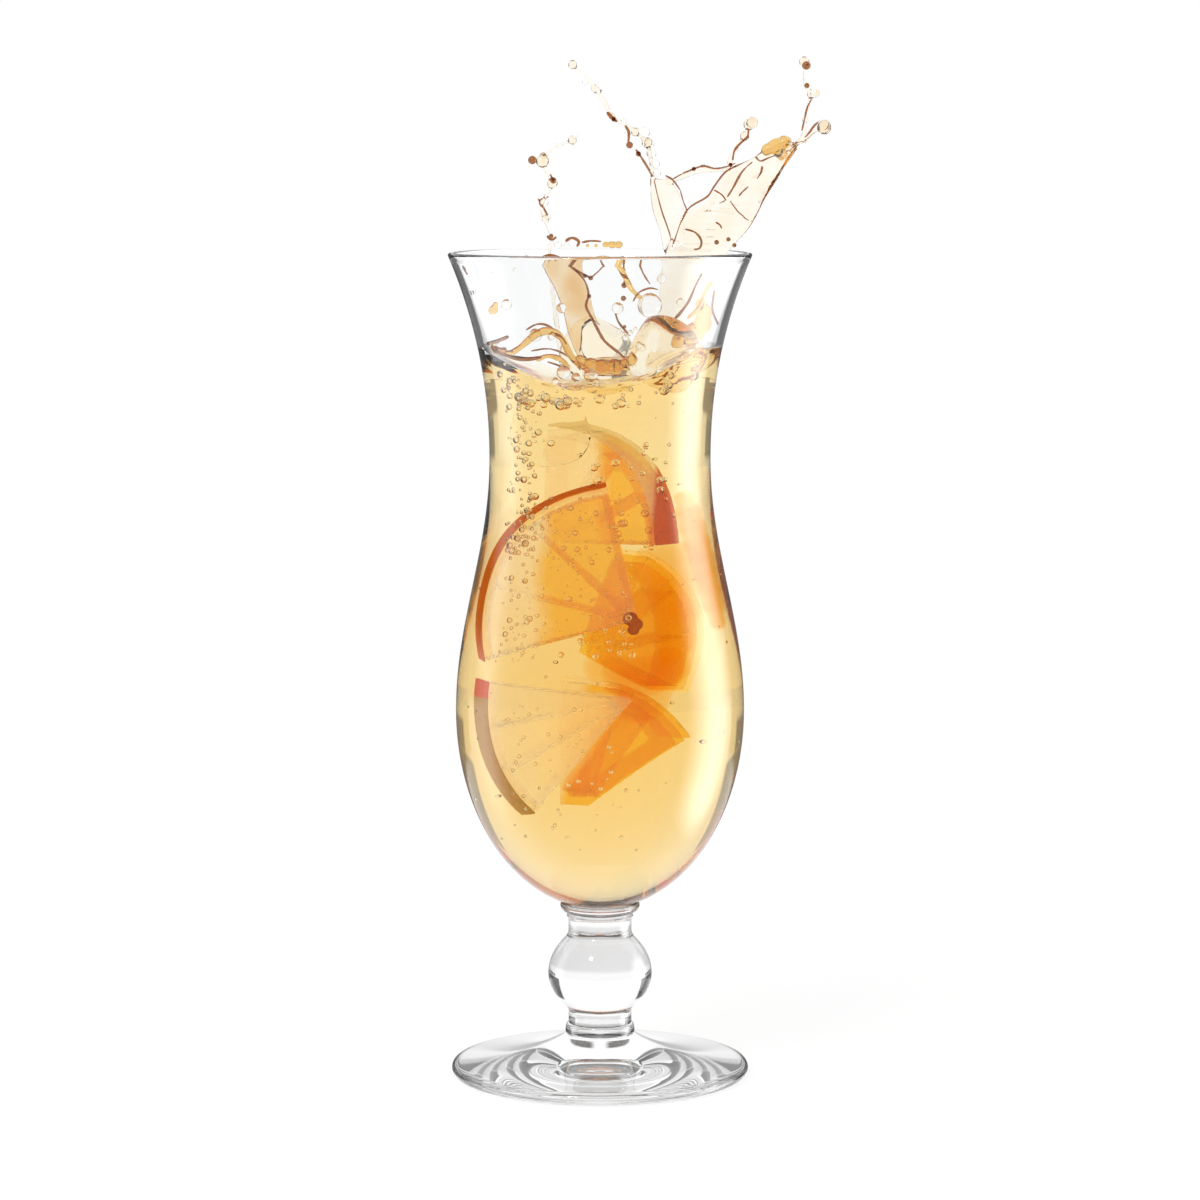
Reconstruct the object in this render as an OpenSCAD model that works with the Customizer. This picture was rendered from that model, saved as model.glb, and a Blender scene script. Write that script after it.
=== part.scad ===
// Hurricane glass with an iced drink and orange wedges, caught in mid splash.
// Millimetres, +Z up, origin at the centre of the foot's underside.

/* [Bowl] */
// Height of the bowl from the collar to the rim
bowl_h = 162.4; // [120:0.5:200]
// Diameter over the rim
rim_d = 75; // [64:0.5:90]
// Diameter over the waist
waist_d = 54.8; // [50:0.2:62]
// Diameter over the bulge
bulge_d = 71.9; // [66:0.2:86]
// Height of the waist above the bowl's seat
waist_h = 111.6; // [100:0.5:125]
// Height of the bulge above the bowl's seat
bulge_h = 48.4; // [40:0.2:56]
// How far the round bottom would reach below the seat if it were not cut off there
pole_drop = 1.6; // [1:0.1:2.6]
// Wall at the rim
rim_wall = 1.5; // [1:0.1:2.5]
// Wall at the waist
waist_wall = 2; // [1.4:0.1:3]
// Wall at the bulge
bulge_wall = 2.2; // [1.4:0.1:3]
// Glass under the drink, on the axis
base_wall = 5; // [3:0.2:9]

/* [Stem] */
// Diameter of the collar under the bowl
collar_d = 19.9; // [17:0.1:24]
// Height of the collar
collar_h = 2.6; // [1.6:0.1:4]
// Diameter of the necks above and below the knop
neck_d = 15.8; // [12:0.1:17]
// Height of the neck between the knop's middle and the collar
neck_top_h = 15.5; // [13.5:0.1:22]
// Height of the neck between the base ring and the knop's middle
neck_low_h = 12.6; // [11:0.1:18]
// Diameter of the knop
knop_d = 25.9; // [20:0.1:32]
// Half height of the knop above its middle
knop_top_h = 11.6; // [8:0.1:12.5]
// Half height of the knop below its middle
knop_low_h = 10.6; // [8:0.1:10.8]
// How far the bead round the upper neck stands out
bead_rise = 0.45; // [0.2:0.05:0.9]
// Diameter of the ring that the stem stands on
ring_d = 17.4; // [15:0.1:22]
// Height of that ring
ring_h = 2.9; // [2:0.1:5]

/* [Foot] */
// Diameter of the foot
foot_d = 74.6; // [66:0.2:90]
// Thickness of the foot at its edge
foot_edge_h = 3; // [2:0.1:4.5]
// Height of the foot where the stem stands
foot_h = 10; // [7:0.2:14]

/* [Drink] */
// Depth of the still drink at the bowl's wall
drink_h = 136.4; // [126:0.2:142]
// How far the middle of the surface is pushed down
dip_h = 8; // [2:0.2:12]
// Diameter of the flat middle of that dip
dip_d = 26; // [18:0.5:36]

/* [Orange] */
// Diameter of the orange that the wedges are cut from
orange_d = 70; // [60:0.5:76]
// Thickness of a wedge at its core
wedge_t = 6.5; // [4:0.1:8]
// Thickness of the peel's coloured skin
peel_t = 1.3; // [0.8:0.1:2]
// Thickness of the white pith
pith_t = 1.7; // [1:0.1:3]
// Thickness of the skin between two segments
membrane_t = 0.7; // [0.4:0.1:1.2]
// Diameter of the white core
core_d = 6; // [3:0.2:9]
// How much narrower the orange is at one face of a wedge than at the other
peel_taper = 1.6; // [0:0.1:3]

/* [Ice] */
// Edge of an ice cube
ice_w = 15; // [12:0.2:17]
// How far an ice cube's corners are melted off
ice_melt = 3.4; // [1.6:0.1:4.5]

/* [Splash] */
// Height that the splash reaches above the rim
splash_h = 49; // [30:1:70]
// How far the splash reaches out from the axis
splash_reach = 57; // [42:1:80]
// Thickness of a sheet of liquid
sheet_t = 1.2; // [0.8:0.1:2.4]
// Diameter of a strand of liquid
strand_d = 1.5; // [1:0.1:3]
// Diameter of the beads at the ends of the strands
drop_d = 3.8; // [2.4:0.1:6]

/* [Hidden] */

GLASS = [0.93, 0.95, 0.96, 0.35];
AMBER = [0.98, 0.80, 0.45, 0.55];
SPRAY = [0.98, 0.86, 0.66, 0.6];
FROST = [0.96, 0.95, 0.90, 0.7];
PEEL = [0.90, 0.36, 0.06];
PITH = [0.97, 0.88, 0.68];
PULP = [0.98, 0.66, 0.16];

round_fn = 96;
edge_step = 15;
flare_power = 2.1;
neck_blend = 8;
foot_power = 3.2;
foot_slope_share = 0.33;
collar_wide_share = 0.72;
ring_wide_share = 0.3;
segments = 3;
steps = 14;

rim_r = rim_d / 2;
waist_r = waist_d / 2;
bulge_r = bulge_d / 2;
knop_r = knop_d / 2;
neck_r = neck_d / 2;
ring_r = ring_d / 2;
collar_r = collar_d / 2;
foot_r = foot_d / 2;
orange_r = orange_d / 2;

ring_z = foot_h;
knop_z = ring_z + ring_h + neck_low_h;
collar_z = knop_z + neck_top_h;
seat_z = collar_z + collar_h;
pole_z = seat_z - pole_drop;
bulge_z = seat_z + bulge_h;
waist_z = seat_z + waist_h;
rim_z = seat_z + bowl_h;
lip_z = rim_z - rim_wall / 2;
floor_z = pole_z + base_wall;
level_z = floor_z + drink_h;
dip_z = level_z - dip_h;

// Radius of the bowl's outside at height z above the foot
function outside_r(z) = z > waist_z
    ? waist_r + (rim_r - waist_r) * pow((z - waist_z) / (lip_z - waist_z), flare_power)
    : z > bulge_z
    ? waist_r + (bulge_r - waist_r) * (1 + cos(180 * (z - bulge_z) / (waist_z - bulge_z))) / 2
    : bulge_r * sqrt(max(0, 1 - pow((bulge_z - z) / (bulge_z - pole_z), 2)));

// Radius of the bowl's inside at height z, with the wall growing from rim to bulge
function inside_r(z) = z > waist_z
    ? outside_r(z) - waist_wall + (waist_wall - rim_wall) * (z - waist_z) / (lip_z - waist_z)
    : z > bulge_z
    ? outside_r(z) - bulge_wall + (bulge_wall - waist_wall) * (z - bulge_z) / (waist_z - bulge_z)
    : (bulge_r - bulge_wall) * sqrt(max(0, 1 - pow((bulge_z - z) / (bulge_z - floor_z), 2)));

// Heights up one stretch of the bowl
function rise(low, high) = [for (i = [0 : steps]) low + (high - low) * i / steps];

// Heights up the round lower part, closer together near its pole
function round_rise(pole, from) = [
    for (i = [0 : steps])
        let (z = bulge_z - (bulge_z - pole) * cos(90 * i / steps))
        if (z >= from) z
];

// The bore's outline from its floor up to the lip
function bore_line() = concat(
    [for (z = round_rise(floor_z, floor_z)) [inside_r(z), z]],
    [for (z = rise(bulge_z, waist_z)) if (z > bulge_z) [inside_r(z), z]],
    [for (z = rise(waist_z, lip_z)) if (z > waist_z) [inside_r(z), z]]
);

// The point of the bore's outline at the drink's edge, on the straight between two stations
function edge_point() =
    let (above = [for (p = bore_line()) if (p.y > level_z) p][0])
    let (below = [for (p = bore_line()) if (p.y <= level_z) p])
    let (last = below[len(below) - 1])
    [last.x + (above.x - last.x) * (level_z - last.y) / (above.y - last.y), level_z];

function wall_line() = concat(
    [[0, seat_z], [outside_r(seat_z), seat_z]],
    [for (z = round_rise(pole_z, seat_z)) if (z > seat_z) [outside_r(z), z]],
    [for (z = rise(bulge_z, waist_z)) if (z > bulge_z) [outside_r(z), z]],
    [for (z = rise(waist_z, lip_z)) if (z > waist_z) [outside_r(z), z]]
);

// The fire-polished lip, a half circle over the wall's end
function lip_line() = [
    for (a = [edge_step : edge_step : 180 - edge_step])
        [rim_r - rim_wall / 2 + rim_wall / 2 * cos(a), lip_z + rim_wall / 2 * sin(a)]
];

function reversed(points) = [for (i = [len(points) - 1 : -1 : 0]) points[i]];

module revolve(points) {
    rotate_extrude($fn = round_fn)
        polygon(points);
}

module bowl() {
    color(GLASS)
        revolve(concat(wall_line(), lip_line(), reversed(bore_line())));
}

// The knop's outline: an egg whose ends run smoothly into the two necks
function knop_half_h(z) = z > knop_z ? knop_top_h : knop_low_h;
function knop_egg(z) = knop_r * sqrt(max(0, 1 - pow((z - knop_z) / knop_half_h(z), 2)));
function knop_line() = [
    for (i = [0 : 4 * steps])
        let (z = ring_z + ring_h + (neck_low_h + neck_top_h) * i / (4 * steps))
        let (bead_z = collar_z - 2 * bead_rise)
        let (bead = bead_rise * exp(-pow((z - bead_z) / bead_rise, 2)))
        [pow(pow(knop_egg(z), neck_blend) + pow(neck_r, neck_blend), 1 / neck_blend) + bead, z]
];

module knop() {
    color(GLASS)
        revolve(concat([[0, ring_z + ring_h]], knop_line(), [[0, collar_z]]));
}

// A collar: a disc whose edge is rounded by a quarter ellipse up to its widest height
module turned_disc(low_r, wide_r, top_r, z, h, wide_share) {
    wide_h = h * wide_share;
    revolve(concat(
        [[0, z], [low_r, z]],
        [
            for (a = [edge_step : edge_step : 90])
                [low_r + (wide_r - low_r) * sin(a), z + wide_h * (1 - cos(a))]
        ],
        [
            for (a = [edge_step : edge_step : 90])
                [top_r + (wide_r - top_r) * cos(a), z + wide_h + (h - wide_h) * sin(a)]
        ],
        [[0, z + h]]
    ));
}

module collar() {
    color(GLASS)
        turned_disc(neck_r, collar_r, outside_r(seat_z), collar_z, collar_h, collar_wide_share);
}

module base_ring() {
    color(GLASS)
        turned_disc(ring_r - bead_rise, ring_r, neck_r, ring_z, ring_h, ring_wide_share);
}

// The foot: flat below, a rounded edge, and a top that sweeps up to the stem
module foot() {
    edge_r = foot_edge_h / 2;
    sweep_r = foot_r - edge_r;
    color(GLASS)
        revolve(concat(
            [[0, 0], [sweep_r - edge_r / 2, 0]],
            [
                for (a = [-4 * edge_step : edge_step : 4 * edge_step])
                    [sweep_r + edge_r * cos(a), edge_r + edge_r * sin(a)]
            ],
            [
                for (i = [0 : 2 * steps])
                    let (s = i / (2 * steps))
                    let (up = foot_slope_share * s + (1 - foot_slope_share) * pow(s, foot_power))
                    [
                        sweep_r - (sweep_r - ring_r) * s,
                        foot_edge_h + (foot_h - foot_edge_h) * up
                    ]
            ],
            [[0, foot_h]]
        ));
}

// The drink's whole space, with the middle of its surface pushed down
function dip_line() = [
    for (i = [1 : steps])
        let (s = 1 - i / steps)
        [dip_d / 2 + (edge_point().x - dip_d / 2) * s, dip_z + dip_h * (1 - cos(180 * s)) / 2]
];

module drink_space() {
    revolve(concat(
        [for (p = bore_line()) if (p.y < level_z) p],
        [edge_point()],
        dip_line(),
        [[0, dip_z]]
    ));
}

// Wedges of orange. Each row holds the core's place, as shares of the bulge's radius
// across and of the drink's depth up, then its turn, lean, first angle and sweep.
wedge_names = ["top", "front", "low", "back", "side"];
wedge_place_shares = [
    [-0.235, 0.18, 0.632],
    [0.2, -0.365, 0.505],
    [0.16, -0.16, 0.361],
    [-0.125, 0.14, 0.18],
    [-0.03, 0.01, 0.433]
];
wedge_angles = [
    [-42, 0, 3, 84],
    [-10, 0, 101, 97],
    [14, 0, 171, 60],
    [50, 0, 28, 62],
    [62, 0, -26, 86]
];
wedge_size_shares = [0.91, 1, 0.98, 0.8, 0.8];

module wedge_frame(i) {
    place = wedge_place_shares[i];
    turn = wedge_angles[i];
    translate([place.x * bulge_r, place.y * bulge_r, floor_z + place.z * drink_h])
        rotate([turn[1], 0, turn[0]])
            rotate([90, 0, 0])
                children();
}

// A sector of a ring, cut square at both faces and tapered round its rim
module sector(i, inner_r, outer_r) {
    taper = peel_taper * outer_r / orange_r / 2;
    rotate([0, 0, wedge_angles[i][2]])
        rotate_extrude(angle = wedge_angles[i][3], $fn = round_fn)
            polygon([
                [inner_r, -wedge_t / 2],
                [outer_r, -wedge_t / 2],
                [outer_r - taper, wedge_t / 2],
                [inner_r, wedge_t / 2]
            ]);
}

function wedge_r(i) = orange_r * wedge_size_shares[i];
function pulp_r(i) = wedge_r(i) - peel_t - pith_t;

// The segments' pulp: the sector less the core and the skins between segments
module pulp_segments(i) {
    step = wedge_angles[i][3] / segments;
    difference() {
        sector(i, core_d / 2, pulp_r(i));
        for (k = [0 : segments])
            rotate([0, 0, wedge_angles[i][2] + step * k])
                translate([0, -membrane_t / 2, -wedge_t])
                    cube([orange_r, membrane_t, 2 * wedge_t]);
    }
}

module wedge_peel(i) {
    color(PEEL)
        wedge_frame(i)
            sector(i, wedge_r(i) - peel_t, wedge_r(i));
}

module wedge_pith(i) {
    color(PITH)
        wedge_frame(i)
            difference() {
                sector(i, 0, wedge_r(i) - peel_t);
                pulp_segments(i);
            }
}

module wedge_pulp(i) {
    color(PULP)
        wedge_frame(i)
            pulp_segments(i);
}

module wedge_whole(i) {
    wedge_frame(i)
        sector(i, 0, wedge_r(i));
}

// Ice cubes: each row holds the middle's place, as shares of the waist's radius
// across and of the drink's depth up, then its three turns.
ice_place_shares = [
    [-0.04, 0.24, 0.982],
    [0.56, -0.36, 0.988],
    [-0.40, -0.41, 0.85]
];
ice_turns = [
    [24, 18, 30],
    [-20, 28, 12],
    [14, -22, 40]
];

module ice_cube(i) {
    place = ice_place_shares[i];
    color(FROST)
        translate([place.x * waist_r, place.y * waist_r, floor_z + place.z * drink_h])
            rotate(ice_turns[i])
                intersection() {
                    cube(ice_w, center = true);
                    sphere(d = ice_w * sqrt(3) - 2 * ice_melt, $fn = round_fn);
                }
}

module drink() {
    color(AMBER)
        difference() {
            drink_space();
            for (i = [0 : len(wedge_names) - 1])
                wedge_whole(i);
            for (i = [0 : len(ice_place_shares) - 1])
                ice_cube(i);
        }
}

// Splash. Places are shares: of the rim's radius across and of the way from the
// dip up to the rim in the mouth, and of the reach and height above the rim.
splash_fn = 8;
top_z = rim_z + splash_h;
function in_mouth(p) = [p[0] * rim_r, p[1] * rim_r, dip_z + p[2] * (rim_z - dip_z)];
function over_rim(p) = [p[0] * splash_reach, p[1] * rim_r, rim_z + p[2] * splash_h];

// A smooth line through all the places, with some points between each two
smooth_parts = 3;
function bend(a, b, c, d, t) =
    b + t * ((c - a) + t * ((2 * a - 5 * b + 4 * c - d) + t * (3 * b - a - 3 * c + d))) / 2;
function smooth(p) = let (n = len(p) - 1) concat(
    [
        for (i = [0 : n - 1])
            for (k = [0 : smooth_parts - 1])
                bend(p[max(i - 1, 0)], p[i], p[i + 1], p[min(i + 2, n)], k / smooth_parts)
    ],
    [p[n]]
);

module blob(place, d) {
    translate(place)
        sphere(d = d, $fn = splash_fn);
}

// A strand that thins towards its end. Its beads sit on its places, as shares of
// a drop's size.
tip_share = 0.65;
module strand(places, bead_shares) {
    line = smooth(places);
    n = len(line) - 1;
    for (i = [0 : n - 1])
        hull() {
            blob(line[i], strand_d * (1 - (1 - tip_share) * i / n));
            blob(line[i + 1], strand_d * (1 - (1 - tip_share) * (i + 1) / n));
        }
    for (i = [0 : len(places) - 1])
        if (bead_shares[i] > 0)
            blob(places[i], drop_d * bead_shares[i]);
}

// A sheet between two edges, cut into panels
module sheet(left, right) {
    a = smooth(left);
    b = smooth(right);
    for (i = [0 : len(a) - 2])
        hull() {
            blob(a[i], sheet_t);
            blob(b[i], sheet_t);
            blob(a[i + 1], sheet_t);
            blob(b[i + 1], sheet_t);
        }
}

// The curling sheet in the mouth
crown_left_shares = [
    [-0.10, -0.10, -0.05], [-0.13, -0.08, 0.14], [-0.20, -0.04, 0.36], [-0.26, 0.02, 0.62],
    [-0.39, 0.10, 0.93]
];
crown_right_shares = [
    [0.34, 0.00, -0.05], [0.14, 0.04, 0.18], [-0.01, 0.06, 0.40], [-0.08, 0.10, 0.64],
    [-0.14, 0.16, 0.90]
];

// The tongue that leaves to the right, from the surface to its end
tongue_left_shares = [[0.34, 0.16, -0.05], [0.40, 0.14, 0.40], [0.42, 0.10, 0.90]];
tongue_right_shares = [[0.58, 0.08, -0.05], [0.66, 0.06, 0.45], [0.78, 0.04, 0.90]];
tongue_left_over_shares = [
    [0.31, 0.12, 0.05], [0.36, 0.16, 0.17], [0.48, 0.18, 0.26],
    [0.55, 0.16, 0.38], [0.69, 0.10, 0.48], [0.81, 0.00, 0.55]
];
tongue_right_over_shares = [
    [0.58, -0.02, 0.05], [0.64, -0.12, 0.14], [0.70, -0.18, 0.26],
    [0.74, -0.20, 0.35], [0.79, -0.16, 0.44], [0.84, -0.10, 0.52]
];

// The tongue's strands: places, and the size of the bead on each place
tip_shares = [[0.80, -0.05, 0.53], [0.88, -0.10, 0.56], [0.915, -0.12, 0.60], [0.96, -0.16, 0.625]];
tip_bead_shares = [0, 0.5, 0, 1];
fork_shares = [
    [0.82, -0.04, 0.51], [0.88, 0.02, 0.59], [0.885, 0.06, 0.66], [0.90, 0.08, 0.74],
    [0.915, 0.10, 0.79], [0.885, 0.13, 0.84], [0.885, 0.16, 0.95]
];
fork_bead_shares = [0, 0, 0.55, 0, 0.75, 0, 0.8];
spur_shares = [
    [0.55, 0.16, 0.38], [0.57, 0.20, 0.47], [0.60, 0.24, 0.53], [0.63, 0.27, 0.58], [0.65, 0.30, 0.64]
];
spur_bead_shares = [0, 0, 0, 0.7, 0.9];
arch_shares = [
    [0.30, 0.18, 0.35], [0.40, 0.22, 0.395], [0.47, 0.22, 0.41], [0.54, 0.18, 0.41], [0.62, 0.12, 0.43]
];
arch_bead_shares = [0.75, 0, 0.5, 0, 0];

// The arm at the left of the tongue: a sheet at its root and a strand above
arm_left_shares = [[0.28, 0.08, 0.00], [0.262, 0.13, 0.115], [0.237, 0.19, 0.237], [0.225, 0.22, 0.36]];
arm_right_shares = [[0.36, 0.06, 0.00], [0.36, 0.14, 0.115], [0.355, 0.17, 0.237], [0.305, 0.18, 0.35]];
arm_shares = [
    [0.235, 0.22, 0.34], [0.22, 0.25, 0.467], [0.203, 0.28, 0.547], [0.155, 0.32, 0.60], [0.10, 0.36, 0.645],
    [0.05, 0.39, 0.68], [0.02, 0.42, 0.75], [-0.02, 0.44, 0.82], [-0.06, 0.45, 0.88], [-0.12, 0.46, 0.94]
];
arm_bead_shares = [0, 0, 0.8, 0.7, 0, 0.55, 0, 0.6, 0, 0.7];

// The thin strand at the left, in the mouth and over the rim
thread_shares = [[-0.24, 0.46, -0.05], [-0.30, 0.46, 0.45], [-0.34, 0.44, 0.98]];
thread_over_shares = [
    [-0.21, 0.44, 0.05], [-0.24, 0.40, 0.16], [-0.255, 0.36, 0.24], [-0.21, 0.32, 0.34],
    [-0.25, 0.28, 0.455], [-0.20, 0.26, 0.52], [-0.12, 0.24, 0.56]
];
thread_bead_shares = [0, 0.5, 0, 0, 0.6, 0, 0.8, 0.9, 0, 0.75];

function places_in(list) = [for (p = list) in_mouth(p)];
function places_over(list) = [for (p = list) over_rim(p)];

module above_drink() {
    difference() {
        children();
        drink_space();
        for (i = [0 : 1])
            ice_cube(i);
    }
}

module splash_crown() {
    color(SPRAY)
        above_drink()
            sheet(places_in(crown_left_shares), places_in(crown_right_shares));
}

module splash_tongue() {
    left = concat(places_in(tongue_left_shares), places_over(tongue_left_over_shares));
    right = concat(places_in(tongue_right_shares), places_over(tongue_right_over_shares));
    color(SPRAY)
        above_drink() {
            sheet(left, right);
            sheet(places_over(arm_left_shares), places_over(arm_right_shares));
            strand(places_over(tip_shares), tip_bead_shares);
            strand(places_over(fork_shares), fork_bead_shares);
            strand(places_over(spur_shares), spur_bead_shares);
            strand(places_over(arch_shares), arch_bead_shares);
            strand(places_over(arm_shares), arm_bead_shares);
        }
}

module splash_strand() {
    line = concat(places_in(thread_shares), places_over(thread_over_shares));
    color(SPRAY)
        above_drink()
            strand(line, thread_bead_shares);
}

bowl();
collar();
knop();
base_ring();
foot();
drink();
wedge_peel(0);  // wedge_top_peel
wedge_pith(0);  // wedge_top_pith
wedge_pulp(0);  // wedge_top_pulp
wedge_peel(1);  // wedge_front_peel
wedge_pith(1);  // wedge_front_pith
wedge_pulp(1);  // wedge_front_pulp
wedge_peel(2);  // wedge_low_peel
wedge_pith(2);  // wedge_low_pith
wedge_pulp(2);  // wedge_low_pulp
wedge_peel(3);  // wedge_back_peel
wedge_pith(3);  // wedge_back_pith
wedge_pulp(3);  // wedge_back_pulp
wedge_peel(4);  // wedge_side_peel
wedge_pith(4);  // wedge_side_pith
wedge_pulp(4);  // wedge_side_pulp
ice_cube(0);  // ice_left
ice_cube(1);  // ice_right
ice_cube(2);  // ice_low
splash_crown();
splash_tongue();
splash_strand();
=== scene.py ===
"""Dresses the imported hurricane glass: clear glass, an amber drink, ice, orange wedges and a splash."""
import math
import random

import bpy
from mathutils import Matrix, Vector, noise


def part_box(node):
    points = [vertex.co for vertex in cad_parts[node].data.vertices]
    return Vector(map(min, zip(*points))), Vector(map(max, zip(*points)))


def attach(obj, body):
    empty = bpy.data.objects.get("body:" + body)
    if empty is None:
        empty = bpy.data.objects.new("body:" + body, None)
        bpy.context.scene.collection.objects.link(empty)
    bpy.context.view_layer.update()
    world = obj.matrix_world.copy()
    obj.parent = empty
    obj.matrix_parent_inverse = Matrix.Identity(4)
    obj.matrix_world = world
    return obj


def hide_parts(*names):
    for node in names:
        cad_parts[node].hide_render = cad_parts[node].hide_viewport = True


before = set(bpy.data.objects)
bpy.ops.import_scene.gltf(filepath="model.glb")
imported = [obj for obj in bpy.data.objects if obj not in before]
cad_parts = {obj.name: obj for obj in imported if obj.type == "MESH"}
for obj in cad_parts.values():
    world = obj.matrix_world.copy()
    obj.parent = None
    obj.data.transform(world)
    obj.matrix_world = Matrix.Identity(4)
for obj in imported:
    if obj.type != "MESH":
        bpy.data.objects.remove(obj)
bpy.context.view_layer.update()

bl_info = {
    "name": "Hurricane glass",
    "version": (1, 0, 0),
    "blender": (4, 5, 0),
    "location": "View3D > Sidebar > Glass",
    "description": "Builds a hurricane glass with its drink, ice, orange wedges and splash",
    "category": "Add Mesh",
}

MM = 0.001
HAIR = MM / 10
MERGE = MM / 500
TURNS = 160
BOWL_STEPS = 72
ROUND_STEPS = 40
KNOP_STEPS = 90
ARC_STEPS = 12
EDGE_STEPS = 16
DOME_STEPS = 48
# Powers of the mouth's flare, of the foot's dome and of the knop's blend into its necks.
FLARE = 2.1
DOME = 3.2
BLEND = 8

BOWL_LOW, BOWL_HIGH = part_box("bowl")
COLLAR_LOW, COLLAR_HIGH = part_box("collar")
KNOP_LOW, KNOP_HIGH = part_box("knop")
RING_LOW, RING_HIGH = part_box("base_ring")
FOOT_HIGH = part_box("foot")[1]
DRINK_LOW, DRINK_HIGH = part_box("drink")

# The photograph's camera, fitted to the ellipses of the rim and the foot.
CAMERA_FAR = 0.985
CAMERA_PITCH = math.radians(6.68)
CAMERA_AIM = Vector((0, 0, 0.11975))
FOCAL_PIXELS = 3958
FRAME_PIXELS = 1200
SENSOR = 36.0

WEDGES = ("top", "front", "low", "back", "side")
ICE = ("ice_left", "ice_right", "ice_low")
SPLASHES = ("splash_crown", "splash_tongue", "splash_strand")

WHITE = (1, 1, 1)
GLASS_INDEX = 1.51
DRINK_INDEX = 1.34
AIR_INDEX = 0.75
SUNK_ICE_INDEX = 1.03
TOP_ICE_INDEX = 1.14


class GlassSizes(bpy.types.PropertyGroup):
    """Sizes of the bowl, stem and foot that the frame's boxes don't give."""

    waist_d: bpy.props.FloatProperty(
        name="Waist", description="Diameter over the waist", default=54.8 * MM, unit="LENGTH")
    waist_z: bpy.props.FloatProperty(
        name="Waist height", description="Height of the waist", default=155.2 * MM, unit="LENGTH")
    bulge_d: bpy.props.FloatProperty(
        name="Bulge", description="Diameter over the bulge", default=71.9 * MM, unit="LENGTH")
    bulge_z: bpy.props.FloatProperty(
        name="Bulge height", description="Height of the bulge", default=92.0 * MM, unit="LENGTH")
    round_h: bpy.props.FloatProperty(
        name="Round part", description="Half height of the round lower part",
        default=50.0 * MM, unit="LENGTH")
    rim_wall: bpy.props.FloatProperty(
        name="Rim wall", description="Wall at the rim", default=1.5 * MM, unit="LENGTH")
    waist_wall: bpy.props.FloatProperty(
        name="Waist wall", description="Wall at the waist", default=2.0 * MM, unit="LENGTH")
    bulge_wall: bpy.props.FloatProperty(
        name="Bulge wall", description="Wall at the bulge", default=2.2 * MM, unit="LENGTH")
    knop_z: bpy.props.FloatProperty(
        name="Knop height", description="Height of the knop's middle", default=25.5 * MM, unit="LENGTH")
    knop_d: bpy.props.FloatProperty(
        name="Knop", description="Diameter over the knop", default=25.9 * MM, unit="LENGTH")
    knop_top: bpy.props.FloatProperty(
        name="Knop top", description="Half height of the knop above its middle",
        default=11.6 * MM, unit="LENGTH")
    knop_low: bpy.props.FloatProperty(
        name="Knop bottom", description="Half height of the knop below its middle",
        default=10.6 * MM, unit="LENGTH")
    neck_d: bpy.props.FloatProperty(
        name="Neck", description="Diameter of the necks", default=15.8 * MM, unit="LENGTH")
    bead: bpy.props.FloatProperty(
        name="Bead", description="How far the bead on the upper neck stands out",
        default=0.45 * MM, unit="LENGTH")
    edge_h: bpy.props.FloatProperty(
        name="Foot edge", description="Thickness of the foot at its edge", default=3.0 * MM, unit="LENGTH")
    seal: bpy.props.FloatProperty(
        name="Seal", description="How far fused pieces reach into each other",
        default=0.12 * MM, unit="LENGTH")
    colour: bpy.props.FloatVectorProperty(
        name="Glass", description="Tint of the glass", default=(0.985, 0.992, 0.99), subtype="COLOR", size=3)


class DrinkSizes(bpy.types.PropertyGroup):
    """Shape and colour of the drink, its bubbles and its splash."""

    trough_r: bpy.props.FloatProperty(
        name="Trough", description="Radius of the trough in the surface", default=41.0 * MM, unit="LENGTH")
    trough_x: bpy.props.FloatProperty(
        name="Trough side", description="Where the trough is lowest", default=-2.5 * MM, unit="LENGTH")
    dip: bpy.props.FloatProperty(
        name="Dip", description="How far the trough is below the drink's edge",
        default=9.0 * MM, unit="LENGTH")
    wave: bpy.props.FloatProperty(
        name="Waves", description="Height of the small waves", default=1.6 * MM, unit="LENGTH")
    wet: bpy.props.FloatProperty(
        name="Wetting", description="How far the drink reaches into the wall so that no air shows",
        default=0.15 * MM, unit="LENGTH")
    density: bpy.props.FloatProperty(
        name="Strength", description="How strongly the drink takes up light", default=26.5)
    colour: bpy.props.FloatVectorProperty(
        name="Drink", description="Colour that the drink lets through",
        default=(0.968, 0.715, 0.02), subtype="COLOR", size=3)
    seed: bpy.props.IntProperty(name="Seed", description="Seed of the bubbles", default=7)


class FruitColours(bpy.types.PropertyGroup):
    """Colours of the orange wedges and the ice."""

    peel: bpy.props.FloatVectorProperty(
        name="Peel", description="Colour of the peel", default=(0.96, 0.26, 0.02), subtype="COLOR", size=3)
    pith: bpy.props.FloatVectorProperty(
        name="Pith", description="Colour of the pith", default=(0.97, 0.84, 0.48), subtype="COLOR", size=3)
    pale: bpy.props.FloatVectorProperty(
        name="Pale pulp", description="Colour of the pulp where light shines through",
        default=(0.96, 0.86, 0.62), subtype="COLOR", size=3)
    ripe: bpy.props.FloatVectorProperty(
        name="Ripe pulp", description="Colour of the pulp at its deepest",
        default=(0.95, 0.66, 0.05), subtype="COLOR", size=3)
    # Painted glow: emission that stands in for light scattered up from the fruit's depth.
    painted_glow: bpy.props.FloatProperty(
        name="Glow", description="Light that comes out of the fruit's depth", default=0.06)


def deselect():
    if bpy.context.object and bpy.context.object.mode != "OBJECT":
        bpy.ops.object.mode_set(mode="OBJECT")
    bpy.ops.object.select_all(action="DESELECT")


def pick(obj):
    """Makes one object the active one and the only one selected."""
    deselect()
    obj.select_set(True)
    bpy.context.view_layer.objects.active = obj


def named(name):
    """Names the object that was just added, and its mesh."""
    obj = bpy.context.object
    obj.name = name
    obj.data.name = name
    return obj


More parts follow.
